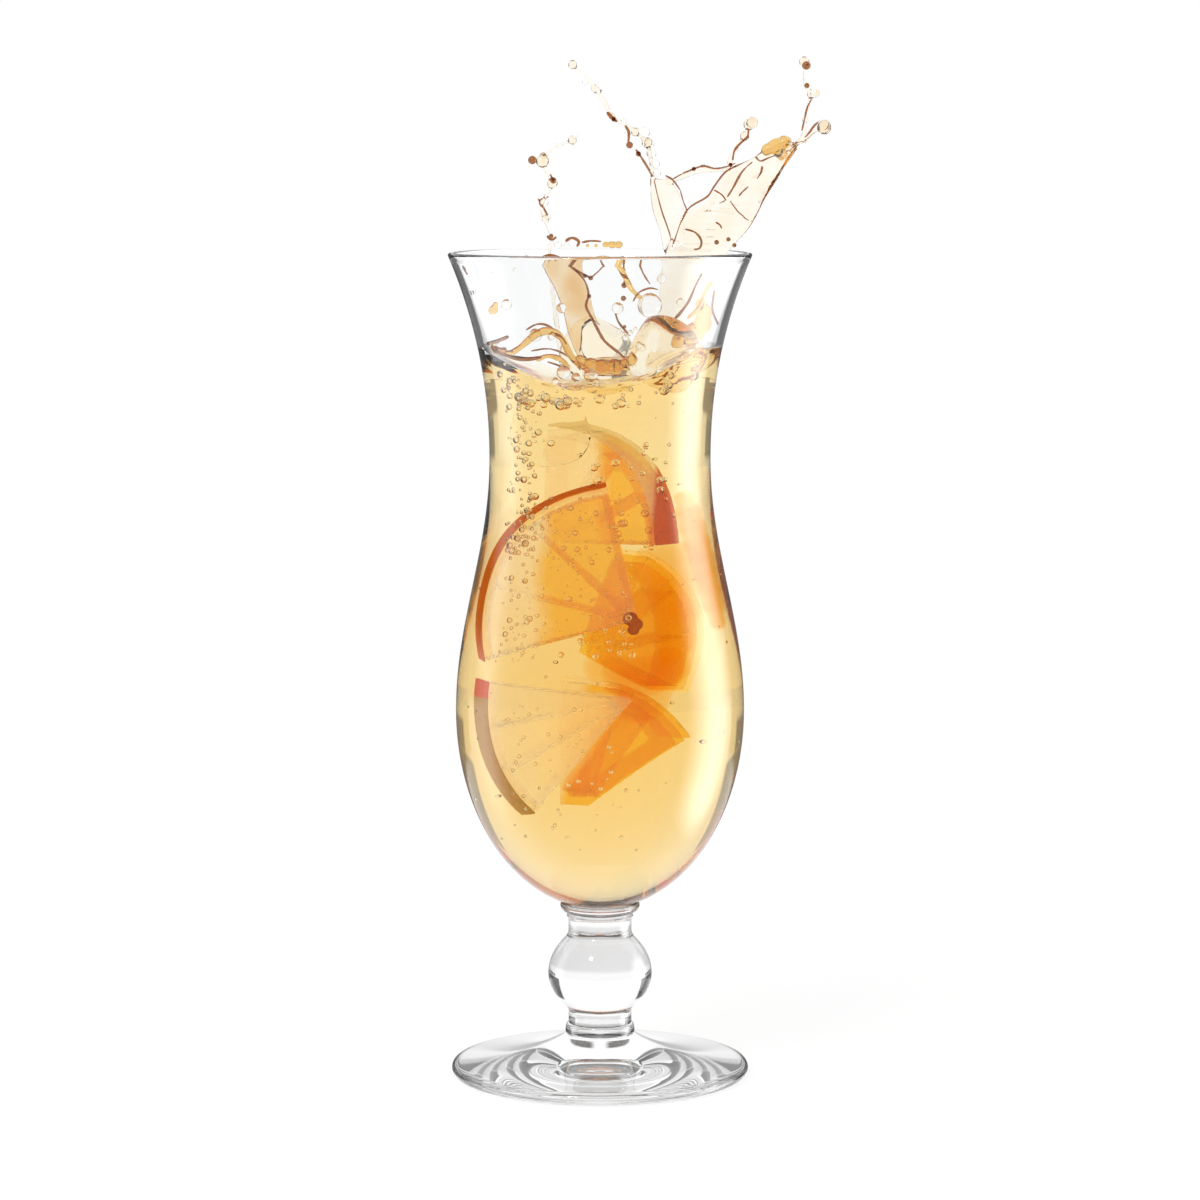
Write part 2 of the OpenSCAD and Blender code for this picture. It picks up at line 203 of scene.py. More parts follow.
def apply_modifiers(obj):
    pick(obj)
    for modifier in list(obj.modifiers):
        bpy.ops.object.modifier_apply(modifier=modifier.name)


def spun(name, outline, sharp=40):
    """Draws an outline of (radius, height) points in edit mode and spins it round the glass's axis."""
    deselect()
    bpy.ops.mesh.primitive_plane_add(size=MM, location=(0, 0, 0))
    obj = named(name)
    bpy.ops.object.mode_set(mode="EDIT")
    bpy.ops.mesh.select_all(action="SELECT")
    bpy.ops.mesh.merge(type="CENTER")
    first = outline[0]
    bpy.ops.transform.translate(value=(first[0], 0, first[1]))
    for before, after in zip(outline, outline[1:]):
        step = (after[0] - before[0], 0, after[1] - before[1])
        bpy.ops.mesh.extrude_region_move(TRANSFORM_OT_translate={"value": step})
    bpy.ops.mesh.select_all(action="SELECT")
    bpy.ops.mesh.spin(steps=TURNS, angle=math.tau, center=(0, 0, 0), axis=(0, 0, 1))
    bpy.ops.mesh.select_all(action="SELECT")
    bpy.ops.mesh.remove_doubles(threshold=MERGE)
    bpy.ops.mesh.normals_make_consistent(inside=False)
    bpy.ops.object.mode_set(mode="OBJECT")
    bpy.ops.object.shade_smooth_by_angle(angle=math.radians(sharp))
    return obj


def copy_of_node(name, node):
    """A merged copy of a CAD node's mesh, to be worked up into a finer piece."""
    obj = bpy.data.objects.new(name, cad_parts[node].data.copy())
    bpy.context.scene.collection.objects.link(obj)
    obj.data.materials.clear()
    pick(obj)
    bpy.ops.object.mode_set(mode="EDIT")
    bpy.ops.mesh.select_all(action="SELECT")
    bpy.ops.mesh.remove_doubles(threshold=MERGE)
    bpy.ops.object.mode_set(mode="OBJECT")
    return obj


def remeshed(obj, voxel, rounds):
    """Even faces all over, with the corners eased."""
    pick(obj)
    obj.data.remesh_voxel_size = voxel
    obj.data.remesh_voxel_adaptivity = 0
    bpy.ops.object.voxel_remesh()
    ease = obj.modifiers.new("ease", "SMOOTH")
    ease.iterations = rounds
    apply_modifiers(obj)
    bpy.ops.object.shade_smooth()
    return obj


def push(obj, amount):
    """Moves each point along its normal by amount(point)."""
    mesh = obj.data
    moves = [(v.normal.copy(), amount(v.co)) for v in mesh.vertices]
    for vertex, (normal, far) in zip(mesh.vertices, moves):
        vertex.co += normal * far
    mesh.update()


def finish_piece(obj, material, slot, *nodes):
    """Gives a piece its material and its body, and hides the CAD nodes that it stands for; the slot is not
    used.
    """
    obj.data.materials.clear()
    obj.data.materials.append(material)
    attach(obj, "root")
    if nodes:
        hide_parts(*nodes)


def sizes():
    """The glass's sizes, as set in the sidebar."""
    return bpy.context.scene.glass_sizes


def drink_sizes():
    return bpy.context.scene.drink_sizes


def fruit():
    return bpy.context.scene.fruit_colours


def outside_r(z):
    """Radius of the bowl's outside at a height."""
    s = sizes()
    waist_r, bulge_r = s.waist_d / 2, s.bulge_d / 2
    lip_z = BOWL_HIGH.z - s.rim_wall / 2
    if z > s.waist_z:
        return waist_r + (BOWL_HIGH.x - waist_r) * ((z - s.waist_z) / (lip_z - s.waist_z)) ** FLARE
    if z > s.bulge_z:
        turn = math.cos(math.pi * (z - s.bulge_z) / (s.waist_z - s.bulge_z))
        return waist_r + (bulge_r - waist_r) * (1 + turn) / 2
    return bulge_r * math.sqrt(max(0, 1 - ((s.bulge_z - z) / s.round_h) ** 2))


def inside_r(z):
    """Radius of the bowl's inside at a height."""
    s = sizes()
    lip_z = BOWL_HIGH.z - s.rim_wall / 2
    if z > s.waist_z:
        share = (z - s.waist_z) / (lip_z - s.waist_z)
        return outside_r(z) - s.waist_wall + (s.waist_wall - s.rim_wall) * share
    if z > s.bulge_z:
        share = (z - s.bulge_z) / (s.waist_z - s.bulge_z)
        return outside_r(z) - s.bulge_wall + (s.bulge_wall - s.waist_wall) * share
    high = s.bulge_z - DRINK_LOW.z
    return (s.bulge_d / 2 - s.bulge_wall) * math.sqrt(max(0, 1 - ((s.bulge_z - z) / high) ** 2))


def heights(low, high, count):
    """Even heights from one to another."""
    return [low + (high - low) * i / count for i in range(count + 1)]


def round_heights(pole):
    """Heights from a pole up to the bulge, closer together near the pole."""
    high = sizes().bulge_z
    turns = [math.pi / 2 * i / ROUND_STEPS for i in range(ROUND_STEPS + 1)]
    return [high - (high - pole) * math.cos(turn) for turn in turns]


def bore_line(top):
    """The inside's outline from its floor up to a height."""
    s = sizes()
    line = [(inside_r(z), z) for z in round_heights(DRINK_LOW.z)]
    line += [(inside_r(z), z) for z in heights(s.bulge_z, top, BOWL_STEPS)[1:]]
    return line


def bowl_outline():
    """Up the outside, over the round lip and down the inside."""
    s = sizes()
    lip_z = BOWL_HIGH.z - s.rim_wall / 2
    lip_r = BOWL_HIGH.x - s.rim_wall / 2
    pole = s.bulge_z - s.round_h
    seat = BOWL_LOW.z - s.seal
    line = [(0, seat), (outside_r(BOWL_LOW.z) - s.seal, seat)]
    line += [(outside_r(z), z) for z in round_heights(pole) if z > BOWL_LOW.z]
    line += [(outside_r(z), z) for z in heights(s.bulge_z, lip_z, BOWL_STEPS)[1:]]
    for step in range(1, ARC_STEPS):
        a = math.pi * step / ARC_STEPS
        line.append((lip_r + s.rim_wall / 2 * math.cos(a), lip_z + s.rim_wall / 2 * math.sin(a)))
    line += reversed(bore_line(lip_z))
    return line


def knop_outline():
    """An egg that blends into its two necks, with a bead under the collar."""
    s = sizes()
    line = [(0, KNOP_LOW.z - s.seal)]
    bead_z = KNOP_HIGH.z - 2 * s.bead
    for z in heights(KNOP_LOW.z, KNOP_HIGH.z, KNOP_STEPS):
        half = s.knop_top if z > s.knop_z else s.knop_low
        egg = s.knop_d / 2 * math.sqrt(max(0, 1 - ((z - s.knop_z) / half) ** 2))
        blend = (egg ** BLEND + (s.neck_d / 2) ** BLEND) ** (1 / BLEND)
        line.append((blend + s.bead * math.exp(-((z - bead_z) / s.bead) ** 2), z))
    line += [(line[-1][0] - s.seal, KNOP_HIGH.z + s.seal), (0, KNOP_HIGH.z + s.seal)]
    return line


def disc_outline(low, high, low_r, wide_r, top_r, wide_share):
    """A collar's outline, rounded by two quarter ellipses that meet at its widest height."""
    s = sizes()
    wide = (high - low) * wide_share
    rest = high - low - wide
    turns = [math.pi / 2 * step / ARC_STEPS for step in range(1, ARC_STEPS + 1)]
    line = [(0, low - s.seal), (low_r - s.seal, low - s.seal), (low_r, low)]
    line += [(low_r + (wide_r - low_r) * math.sin(a), low + wide * (1 - math.cos(a))) for a in turns]
    line += [(top_r + (wide_r - top_r) * math.cos(a), low + wide + rest * math.sin(a)) for a in turns]
    line += [(line[-1][0] - s.seal, high + s.seal), (0, high + s.seal)]
    return line


def foot_outline():
    """A flat underside, a round edge and a low dome that steepens to the ring."""
    s = sizes()
    edge_r = s.edge_h / 2
    sweep_r = FOOT_HIGH.x - edge_r
    line = [(0, 0), (sweep_r - edge_r / 2, 0)]
    for step in range(EDGE_STEPS + 1):
        a = math.radians(-60 + 120 * step / EDGE_STEPS)
        line.append((sweep_r + edge_r * math.cos(a), edge_r + edge_r * math.sin(a)))
    for share in heights(0, 1, DOME_STEPS):
        rise = share / 3 + share ** DOME * 2 / 3
        r = sweep_r - (sweep_r - RING_HIGH.x) * share
        line.append((r, s.edge_h + (FOOT_HIGH.z - s.edge_h) * rise))
    line.append((0, FOOT_HIGH.z))
    return line


# The surface's waves: how many to a metre, where in the noise they are read, and their share.
SWELLS = ((70, 1.7, 1.0), (160, 5.1, 0.5))


def surface_z(x, y):
    """Height of the churned surface over a place."""
    s = drink_sizes()
    low = DRINK_HIGH.z - s.dip
    trough = s.trough_r - math.sqrt(max(0, s.trough_r ** 2 - (x - s.trough_x) ** 2))
    swell = sum(share * noise.noise(Vector((x * fine, y * fine, at))) for fine, at, share in SWELLS)
    return min(low + trough + s.wave * swell, DRINK_HIGH.z)


class Nodes:
    """A short way to add and join shader nodes."""

    def __init__(self, tree):
        self.tree = tree

    def add(self, kind, **values):
        node = self.tree.nodes.new(kind)
        for key, value in values.items():
            if hasattr(node, key):
                setattr(node, key, value)
            else:
                node.inputs[key.replace("_", " ")].default_value = value
        return node

    def join(self, a, out, b, into):
        self.tree.links.new(a.outputs[out], b.inputs[into])


def new_material(name):
    """An empty material and the way to add its nodes."""
    material = bpy.data.materials.new(name)
    material.use_nodes = True
    material.node_tree.nodes.clear()
    return material, Nodes(material.node_tree)


def principled(nodes, colour, **values):
    """A Principled shader, joined to its output."""
    shader = nodes.add("ShaderNodeBsdfPrincipled")
    shader.inputs["Base Color"].default_value = (*colour, 1)
    for key, value in values.items():
        shader.inputs[key.replace("_", " ")].default_value = value
    output = nodes.add("ShaderNodeOutputMaterial")
    nodes.join(shader, "BSDF", output, "Surface")
    return shader, output


def clear_body(name, colour, index, roughness=0.0):
    """A material that light passes through, with its nodes, shader and output."""
    material, nodes = new_material(name)
    shader, output = principled(
        nodes, colour, Roughness=roughness, IOR=index, Transmission_Weight=1.0)
    return material, nodes, shader, output


def absorb(nodes, output, colour, density):
    """Takes up light by how far it goes through, and leaves a colour."""
    volume = nodes.add("ShaderNodeVolumeAbsorption")
    volume.inputs["Color"].default_value = (*colour, 1)
    volume.inputs["Density"].default_value = density
    nodes.join(volume, "Volume", output, "Volume")


def ripple(nodes, shader, scale, detail, strength, distance):
    """Makes a surface faintly uneven."""
    place = nodes.add("ShaderNodeTexCoord")
    cloud = nodes.add("ShaderNodeTexNoise", Scale=scale, Detail=detail)
    bump = nodes.add("ShaderNodeBump", Strength=strength, Distance=distance)
    nodes.join(place, "Object", cloud, "Vector")
    nodes.join(cloud, "Fac", bump, "Height")
    nodes.join(bump, "Normal", shader, "Normal")


def ramp_value(nodes, source, out, low, high, first, last):
    """A smooth change from one value to another as the input goes from low to high."""
    ramp = nodes.add("ShaderNodeMapRange", interpolation_type="SMOOTHSTEP")
    for key, value in (("From Min", low), ("From Max", high), ("To Min", first), ("To Max", last)):
        ramp.inputs[key].default_value = value
    nodes.join(source, out, ramp, "Value")
    return ramp


def product(nodes, *factors):
    """The product of the first outputs of some nodes."""
    total = factors[0]
    for factor in factors[1:]:
        both = nodes.add("ShaderNodeMath", operation="MULTIPLY")
        nodes.join(total, 0, both, 0)
        nodes.join(factor, 0, both, 1)
        total = both
    return total


def band(nodes, source, out, low, high, edge):
    """1 between two limits and 0 beyond them."""
    up = ramp_value(nodes, source, out, low - edge, low + edge, 0, 1)
    down = ramp_value(nodes, source, out, high - edge, high + edge, 1, 0)
    return product(nodes, up, down)


def either_value(nodes, switch, switch_out, off_value, on_value):
    """One number where the switch is 0 and another where it is 1; each may be a node."""
    mix = nodes.add("ShaderNodeMix", data_type="FLOAT")
    nodes.join(switch, switch_out, mix, 0)
    for place, value in ((2, off_value), (3, on_value)):
        if isinstance(value, (int, float)):
            mix.inputs[place].default_value = value
        else:
            nodes.join(value, 0, mix, place)
    return mix


def wetted_index(nodes, shader, wetted):
    """Another index on the faces marked as wetted, where light passes straight into the next piece."""
    mark = nodes.add("ShaderNodeAttribute", attribute_name="wetted")
    index = shader.inputs["IOR"].default_value
    nodes.join(either_value(nodes, mark, "Fac", index, wetted), 0, shader, "IOR")


def mark_wetted(obj, wetted):
    """Marks the faces whose middle meets a test."""
    marks = obj.data.attributes.new("wetted", "FLOAT", "FACE")
    marks.data.foreach_set("value", [1.0 if wetted(face.center) else 0.0 for face in obj.data.polygons])


def clear_glass():
    """Colourless glass with the faint waviness of a pressed and blown wall."""
    material, nodes, shader, _ = clear_body("hurricane_glass", sizes().colour, GLASS_INDEX)
    wetted_index(nodes, shader, GLASS_INDEX / DRINK_INDEX)
    ripple(nodes, shader, 38.0, 1.0, 0.05, 0.6 * MM)
    return material


def drink_liquid():
    """The drink: clear, and amber by how far light goes through it."""
    material, nodes, shader, output = clear_body("amber_drink", WHITE, DRINK_INDEX)
    wetted_index(nodes, shader, 1.0)
    absorb(nodes, output, drink_sizes().colour, drink_sizes().density)
    return material


def thin_liquid(name, density):
    """Thin sheets and strands of the drink, tinted more than their depth alone would show."""
    material, nodes, _, output = clear_body(name, (1, 0.97, 0.92), DRINK_INDEX)
    absorb(nodes, output, (0.90, 0.62, 0.14), density)
    return material


def tinted_liquid(name, colour):
    """Liquid so thin or so thick that its colour is set rather than taken up on the way; the near-black one
    is painted shade.
    """
    return clear_body(name, colour, DRINK_INDEX)[0]


def wet_ice(name, colour, index):
    """Ice; under the surface the drink's own index leaves little of it to see."""
    material, nodes, shader, _ = clear_body(name, colour, index, 0.02)
    ripple(nodes, shader, 240.0, 3.0, 0.25, 0.8 * MM)
    return material


def bubble_air():
    """Air inside the drink: the drink's index turned upside down."""
    material, nodes = new_material("bubble_air")
    shader = nodes.add("ShaderNodeBsdfGlass", Roughness=0.0, IOR=AIR_INDEX)
    shader.inputs["Color"].default_value = (1, 1, 1, 1)
    output = nodes.add("ShaderNodeOutputMaterial")
    nodes.join(shader, "BSDF", output, "Surface")
    return material


# Where the mottle's two colours stand on its ramp, which part of the ramp a change of colour
# along a direction takes, and how far the mottle's middle values stir that change.
TONES_AT = (0.35, 0.62)
CHANGE = (0.2, 0.76)
MOTTLE_MIDDLE = (0.3, 0.7)
STIR = 0.12
RING_EDGE = 0.5 * MM
RING_FADE = 3 * MM


def way_across(nodes, place, mottle, across):
    """How far the second colour has taken over along a direction, stirred by the mottle."""
    low, high, lean = across
    line = nodes.add("ShaderNodeVectorMath", operation="DOT_PRODUCT")
    line.inputs[1].default_value = (lean[0], 0, lean[1])
    nodes.join(place, "Object", line, 0)
    both = nodes.add("ShaderNodeMath", operation="ADD")
    nodes.join(ramp_value(nodes, line, "Value", low * MM, high * MM, *CHANGE), 0, both, 0)
    nodes.join(ramp_value(nodes, mottle, "Fac", *MOTTLE_MIDDLE, -STIR, STIR), 0, both, 1)
    return both


def ring_mix(nodes, place, ramp, ring):
    """The ramp's colour, with another tone outside a radius and right of a place."""
    core, radius, tone, side = ring
    reach = nodes.add("ShaderNodeVectorMath", operation="DISTANCE")
    reach.inputs[1].default_value = core
    nodes.join(place, "Object", reach, 0)
    outer = ramp_value(nodes, reach, "Value", radius - RING_EDGE, radius + RING_EDGE, 0, 1)
    parts = nodes.add("ShaderNodeSeparateXYZ")
    nodes.join(place, "Object", parts, "Vector")
    right = ramp_value(nodes, parts, "X", side, side + RING_FADE, 0, 1)
    mix = nodes.add("ShaderNodeMix", data_type="RGBA")
    nodes.join(product(nodes, outer, right), 0, mix, 0)
    nodes.join(ramp, "Color", mix, 6)
    mix.inputs[7].default_value = (*tone, 1)
    return mix


def fruit_skin(name, first, second, scale, bump_scale, depth, across=None, ring=None, **values):
    """Fruit: two colours mottled together, or one giving way to the other along a direction."""
    material, nodes = new_material(name)
    # Painted glow: the fruit gives off a faint light in one of its own colours, standing in for light
    # scattered inside it.
    shader, _ = principled(nodes, first, Emission_Strength=fruit().painted_glow, **values)
    shader.inputs["Emission Color"].default_value = (*(first if across else second), 1)
    place = nodes.add("ShaderNodeTexCoord")
    mottle = nodes.add("ShaderNodeTexNoise", Scale=scale, Detail=4.0)
    ramp = nodes.add("ShaderNodeValToRGB")
    for element, at, colour in zip(ramp.color_ramp.elements, TONES_AT, (first, second)):
        element.position = at
        element.color = (*colour, 1)
    cells = nodes.add("ShaderNodeTexVoronoi", Scale=bump_scale)
    bump = nodes.add("ShaderNodeBump", Strength=0.6, Distance=depth)
    nodes.join(place, "Object", mottle, "Vector")
    nodes.join(place, "Object", cells, "Vector")
    nodes.join(way_across(nodes, place, mottle, across) if across else mottle, 0, ramp, "Fac")
    if ring:
        nodes.join(ring_mix(nodes, place, ramp, ring), 2, shader, "Base Color")
    else:
        nodes.join(ramp, "Color", shader, "Base Color")
    nodes.join(cells, "Distance", bump, "Height")
    nodes.join(bump, "Normal", shader, "Normal")
    return material


def pulp_haze(name, density):
    """Loose juice sacs: no surface of their own, only the light that they take up."""
    material, nodes, _, output = clear_body(name, WHITE, 1.0)
    absorb(nodes, output, (0.97, 0.70, 0.08), density)
    return material


def orange_peel(name, first, second, across, clear):
    return fruit_skin(name, first, second, 60, 900, 0.3 * MM, across,
                      Roughness=0.35, Transmission_Weight=clear, IOR=1.02)


def orange_pith(name, first, second, across, ring):
    return fruit_skin(name, first, second, 90, 1400, 0.2 * MM, across, ring,
                      Roughness=0.3, Transmission_Weight=0.88, IOR=1.01)


def orange_pulp(name, first, second, across):
    return fruit_skin(name, first, second, 75, 420, 0.6 * MM, across,
                      Roughness=0.3, Transmission_Weight=0.88, IOR=1.01)


# How near to the bore a face of the bowl or the drink is wetted, and by how much the bowl's
# wetted part starts above its seat.
BOWL_WETTED = 0.2 * MM
DRINK_WETTED = 0.1 * MM
WETTED_FROM = MM
COLLAR_WIDEST = 0.72
RING_WIDEST = 0.3


class GLASS_OT_bowl(bpy.types.Operator):
    """Spin the waisted bowl with its fire-polished lip"""

    bl_idname = "hurricane.bowl"
    bl_label = "Bowl"

    def execute(self, context):
        bowl = spun("glass_bowl", bowl_outline())
        mark_wetted(bowl, lambda co: (
            BOWL_LOW.z + WETTED_FROM < co.z < surface_z(co.x, co.y)
            and math.hypot(co.x, co.y) < inside_r(co.z) + BOWL_WETTED))
        finish_piece(bowl, clear_glass(), "clear_glass", "bowl")
        return {"FINISHED"}


class GLASS_OT_stem(bpy.types.Operator):
    """Spin the collar, the knop with its necks, the base ring and the foot"""

    bl_idname = "hurricane.stem"
    bl_label = "Stem and foot"

    def execute(self, context):
        s = sizes()
        glass = bpy.data.materials["hurricane_glass"]
        neck_r, seat_r = s.neck_d / 2, outside_r(BOWL_LOW.z)
        collar = disc_outline(
            COLLAR_LOW.z, COLLAR_HIGH.z, neck_r, COLLAR_HIGH.x, seat_r, COLLAR_WIDEST)
        ring = disc_outline(
            RING_LOW.z, RING_HIGH.z, RING_HIGH.x - s.bead, RING_HIGH.x, neck_r, RING_WIDEST)
        parts = {
            "glass_collar": ("collar", collar),
            "glass_knop": ("knop", knop_outline()),
            "glass_ring": ("base_ring", ring),
            "glass_foot": ("foot", foot_outline()),
        }
        for name, (node, outline) in parts.items():
            finish_piece(spun(name, outline), glass, "clear_glass", node)
        return {"FINISHED"}


SURFACE_RINGS = 44
# How far below the trough the drink's side starts to stretch with the surface.
STRETCH = 12 * MM


class GLASS_OT_drink(bpy.types.Operator):
    """Fill the bowl with the drink, its surface churned"""

    bl_idname = "hurricane.drink"
    bl_label = "Drink"

    def execute(self, context):
        s = drink_sizes()
        line = [(r + s.wet * min(1, r / MM), z - s.wet) for r, z in bore_line(DRINK_HIGH.z)]
        edge_r = line[-1][0]
        line += [(edge_r * (1 - i / SURFACE_RINGS), DRINK_HIGH.z) for i in range(1, SURFACE_RINGS + 1)]
        drink = spun("drink_body", line, sharp=180)
        side = DRINK_HIGH.z - s.dip - STRETCH
        top = DRINK_HIGH.z - s.wet
        for vertex in drink.data.vertices:
            co = vertex.co
            if co.z < side:
                continue
            reach = math.hypot(co.x, co.y)
            share = (co.z - side) / (top - side)
            away = (co.x, co.y) if reach < MM else (co.x * edge_r / reach, co.y * edge_r / reach)
            below = co.z < top - MM / 100
            goal = surface_z(*away) if below else surface_z(co.x, co.y)
            z = side + (goal - side) * min(1, share)
            if below or reach > edge_r - HAIR:
                r = inside_r(z) + s.wet
                co.x, co.y = co.x * r / reach, co.y * r / reach
            else:
                squeeze = (inside_r(goal) + s.wet) / edge_r
                co.x, co.y = co.x * min(1, squeeze), co.y * min(1, squeeze)
            co.z = z
        drink.data.update()
        mark_wetted(drink, lambda co: (
            co.z < side or math.hypot(co.x, co.y) > inside_r(co.z) - DRINK_WETTED))
        finish_piece(drink, drink_liquid(), "amber_drink", "drink")
        return {"FINISHED"}


# Loose pulp behind the wedges and between them, its streak at the right, and the front wedge's
# dark tip: places and radii in millimetres.
HAZE = (
    (10.5, 14, 127, 5.5), (10, 14, 121, 6.5), (9, 14, 114, 7.5), (8, 14, 107, 7.5), (7, 14, 100, 7),
    (6, 14, 94, 6), (1, -3, 103, 4.5), (5, -3, 101, 5), (9, -2, 101, 5), (13, 0, 103, 4.5),
)
STREAK = (
    (15.4, 2, 145, 2.2), (16.4, 2, 141, 3), (17.4, 2, 137, 3.2), (18.4, 2, 133, 3.3), (19.4, 2, 129, 3.3),
    (20.3, 2, 125, 3.3), (21.2, 2, 121, 3.2), (22.0, 2, 117, 3), (22.6, 2, 113, 2.4),
)
TIP = ((6.4, -14.6, 116.4, 1.7), (7.6, -14.2, 115.0, 1.5), (7.0, -14.0, 113.6, 1.3))
HAZE_DENSITY = 110
STREAK_DENSITY = 360

# Sizes of the even faces, and how many rounds ease each kind of piece.
FINE_VOXEL = 0.3 * MM
PULP_VOXEL = 0.4 * MM
ICE_VOXEL = 0.5 * MM
HAZE_VOXEL = 0.8 * MM
PEEL_ROUNDS, PITH_ROUNDS, PULP_ROUNDS, TIP_ROUNDS = 3, 2, 4, 4
HAZE_ROUNDS, ICE_ROUNDS, SHEET_ROUNDS, LUMP_ROUNDS = 10, 40, 8, 16
# How far inside the wedge's radius, in millimetres, the tone of the pith's ring starts.
PITH_EDGE = 3


def pulp_push(co):
    """The faint swell of the juice sacs."""
    return 0.25 * MM * noise.noise(co * 420)


def ice_push(co):
    """Hollows and swells of a melting face, a little inside the cube."""
    return 0.7 * MM * noise.noise(co * 110) - 0.3 * MM


def millimetre_balls(name, places):
    """Balls from places and radii in millimetres."""
    return balls(name, [(Vector(place) * MM, r * MM) for *place, r in places])


class GLASS_OT_wedges(bpy.types.Operator):
    """Work up the orange wedges: dimpled peel, soft pith and juicy pulp"""

    bl_idname = "hurricane.wedges"
    bl_label = "Orange wedges"

    def execute(self, context):
        pale, ripe, pith_tone, skin_tone = (
            tuple(getattr(fruit(), key)) for key in ("pale", "ripe", "pith", "peel"))
        deep, rust, milk = (0.95, 0.64, 0.06), (0.74, 0.17, 0.01), (0.98, 0.88, 0.66)
        tan, cream, straw = (0.72, 0.46, 0.14), (0.985, 0.94, 0.86), (0.97, 0.87, 0.58)
        honey, scarlet = (0.96, 0.76, 0.22), (0.95, 0.13, 0.005)
        low_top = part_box("wedge_low_peel")[1].z / MM
        across, upward, slanting = (1, 0), (0, 1), (1, -0.446)
        # For each wedge: its pulp's colour at first, at last, and where one gives way to the other,
        # in millimetres along a direction; the tone of its pith's ring and from where across that
        # shows; its peel in the same way as the pulp and how clear that is; and the place and
        # radius of the wedge's core.
        looks = {
            "top": (
                (cream, deep, (-4, 4, across)), rust, 9,
                (milk, rust, (10, 13, across)), 0.78, (-8.4, 6.5, 133.2), 31.8),
            "front": (
                # The cream left side of this pulp and pith is a painted reflection: it paints in the pale
                # haze that the left card also throws on the glass.
                (cream, deep, (-18, -6, across)), pith_tone, -40,
                (skin_tone, skin_tone, None), 0.3, (7.2, -13.1, 115.9), 35),
            "low": (
                # The cream left side of this pulp and pith is a painted reflection: it paints in the pale
                # haze that the left card also throws on the glass.
                (cream, milk, (-20, 8, across)), pale, -40,
                (tan, scarlet, (low_top - 5, low_top - 3.5, upward)), 0.5, (5.8, -5.8, 96.2), 34.3),
            "back": (
                (cream, ripe, (-43, -36, slanting)), ripe, -4,
                (cream, deep, (-43, -36, slanting)), 0.9, (-4.5, 5.0, 71.6), 28),
            "side": (
                (honey, straw, (8, 19, across)), straw, 10,
                (straw, straw, None), 0.97, (-1.1, 0.4, 106.1), 28),
        }
        for name in WEDGES:
            flesh_look, tone, side, skin_look, clear, core, radius = looks[name]
            ring = (tuple(c * MM for c in core), (radius - PITH_EDGE) * MM, tone, side * MM)
            pulp = orange_pulp(f"pulp_{name}", *flesh_look)
            pith = orange_pith(f"pith_{name}", *flesh_look, ring)
            peel = orange_peel(f"skin_{name}", *skin_look, clear)
            skin = remeshed(copy_of_node(f"peel_{name}", f"wedge_{name}_peel"), FINE_VOXEL, PEEL_ROUNDS)
            finish_piece(skin, peel, "orange_peel", f"wedge_{name}_peel")
            white = remeshed(copy_of_node(f"pith_{name}", f"wedge_{name}_pith"), FINE_VOXEL, PITH_ROUNDS)
            finish_piece(white, pith, "orange_pith", f"wedge_{name}_pith")
            flesh = remeshed(copy_of_node(f"pulp_{name}", f"wedge_{name}_pulp"), PULP_VOXEL, PULP_ROUNDS)
            push(flesh, pulp_push)
            finish_piece(flesh, pulp, "orange_pulp", f"wedge_{name}_pulp")
        for name, density, places in (
                ("pulp_haze", HAZE_DENSITY, HAZE), ("pulp_streak", STREAK_DENSITY, STREAK)):
            haze = remeshed(millimetre_balls(name, places), HAZE_VOXEL, HAZE_ROUNDS)
            finish_piece(haze, pulp_haze(name, density), "orange_pulp")
        tip = remeshed(millimetre_balls("dark_tip", TIP), FINE_VOXEL, TIP_ROUNDS)
        dark = orange_peel("skin_tip", (0.58, 0.13, 0.04), (0.66, 0.20, 0.06), None, 0.3)
        finish_piece(tip, dark, "orange_peel")
        return {"FINISHED"}


class GLASS_OT_ice(bpy.types.Operator):
    """Melt the ice cubes' corners and faces"""

    bl_idname = "hurricane.ice"
    bl_label = "Ice"

    def execute(self, context):
        sunk = wet_ice("sunken_ice", (1, 0.99, 0.96), SUNK_ICE_INDEX)
        wet = wet_ice("surface_ice", (1, 0.90, 0.70), TOP_ICE_INDEX)
        for node in ICE:
            ice = sunk if node == "ice_low" else wet
            cube = remeshed(copy_of_node(f"melting_{node}", node), ICE_VOXEL, ICE_ROUNDS)
            push(cube, ice_push)
            finish_piece(cube, ice, "wet_ice", node)
        return {"FINISHED"}


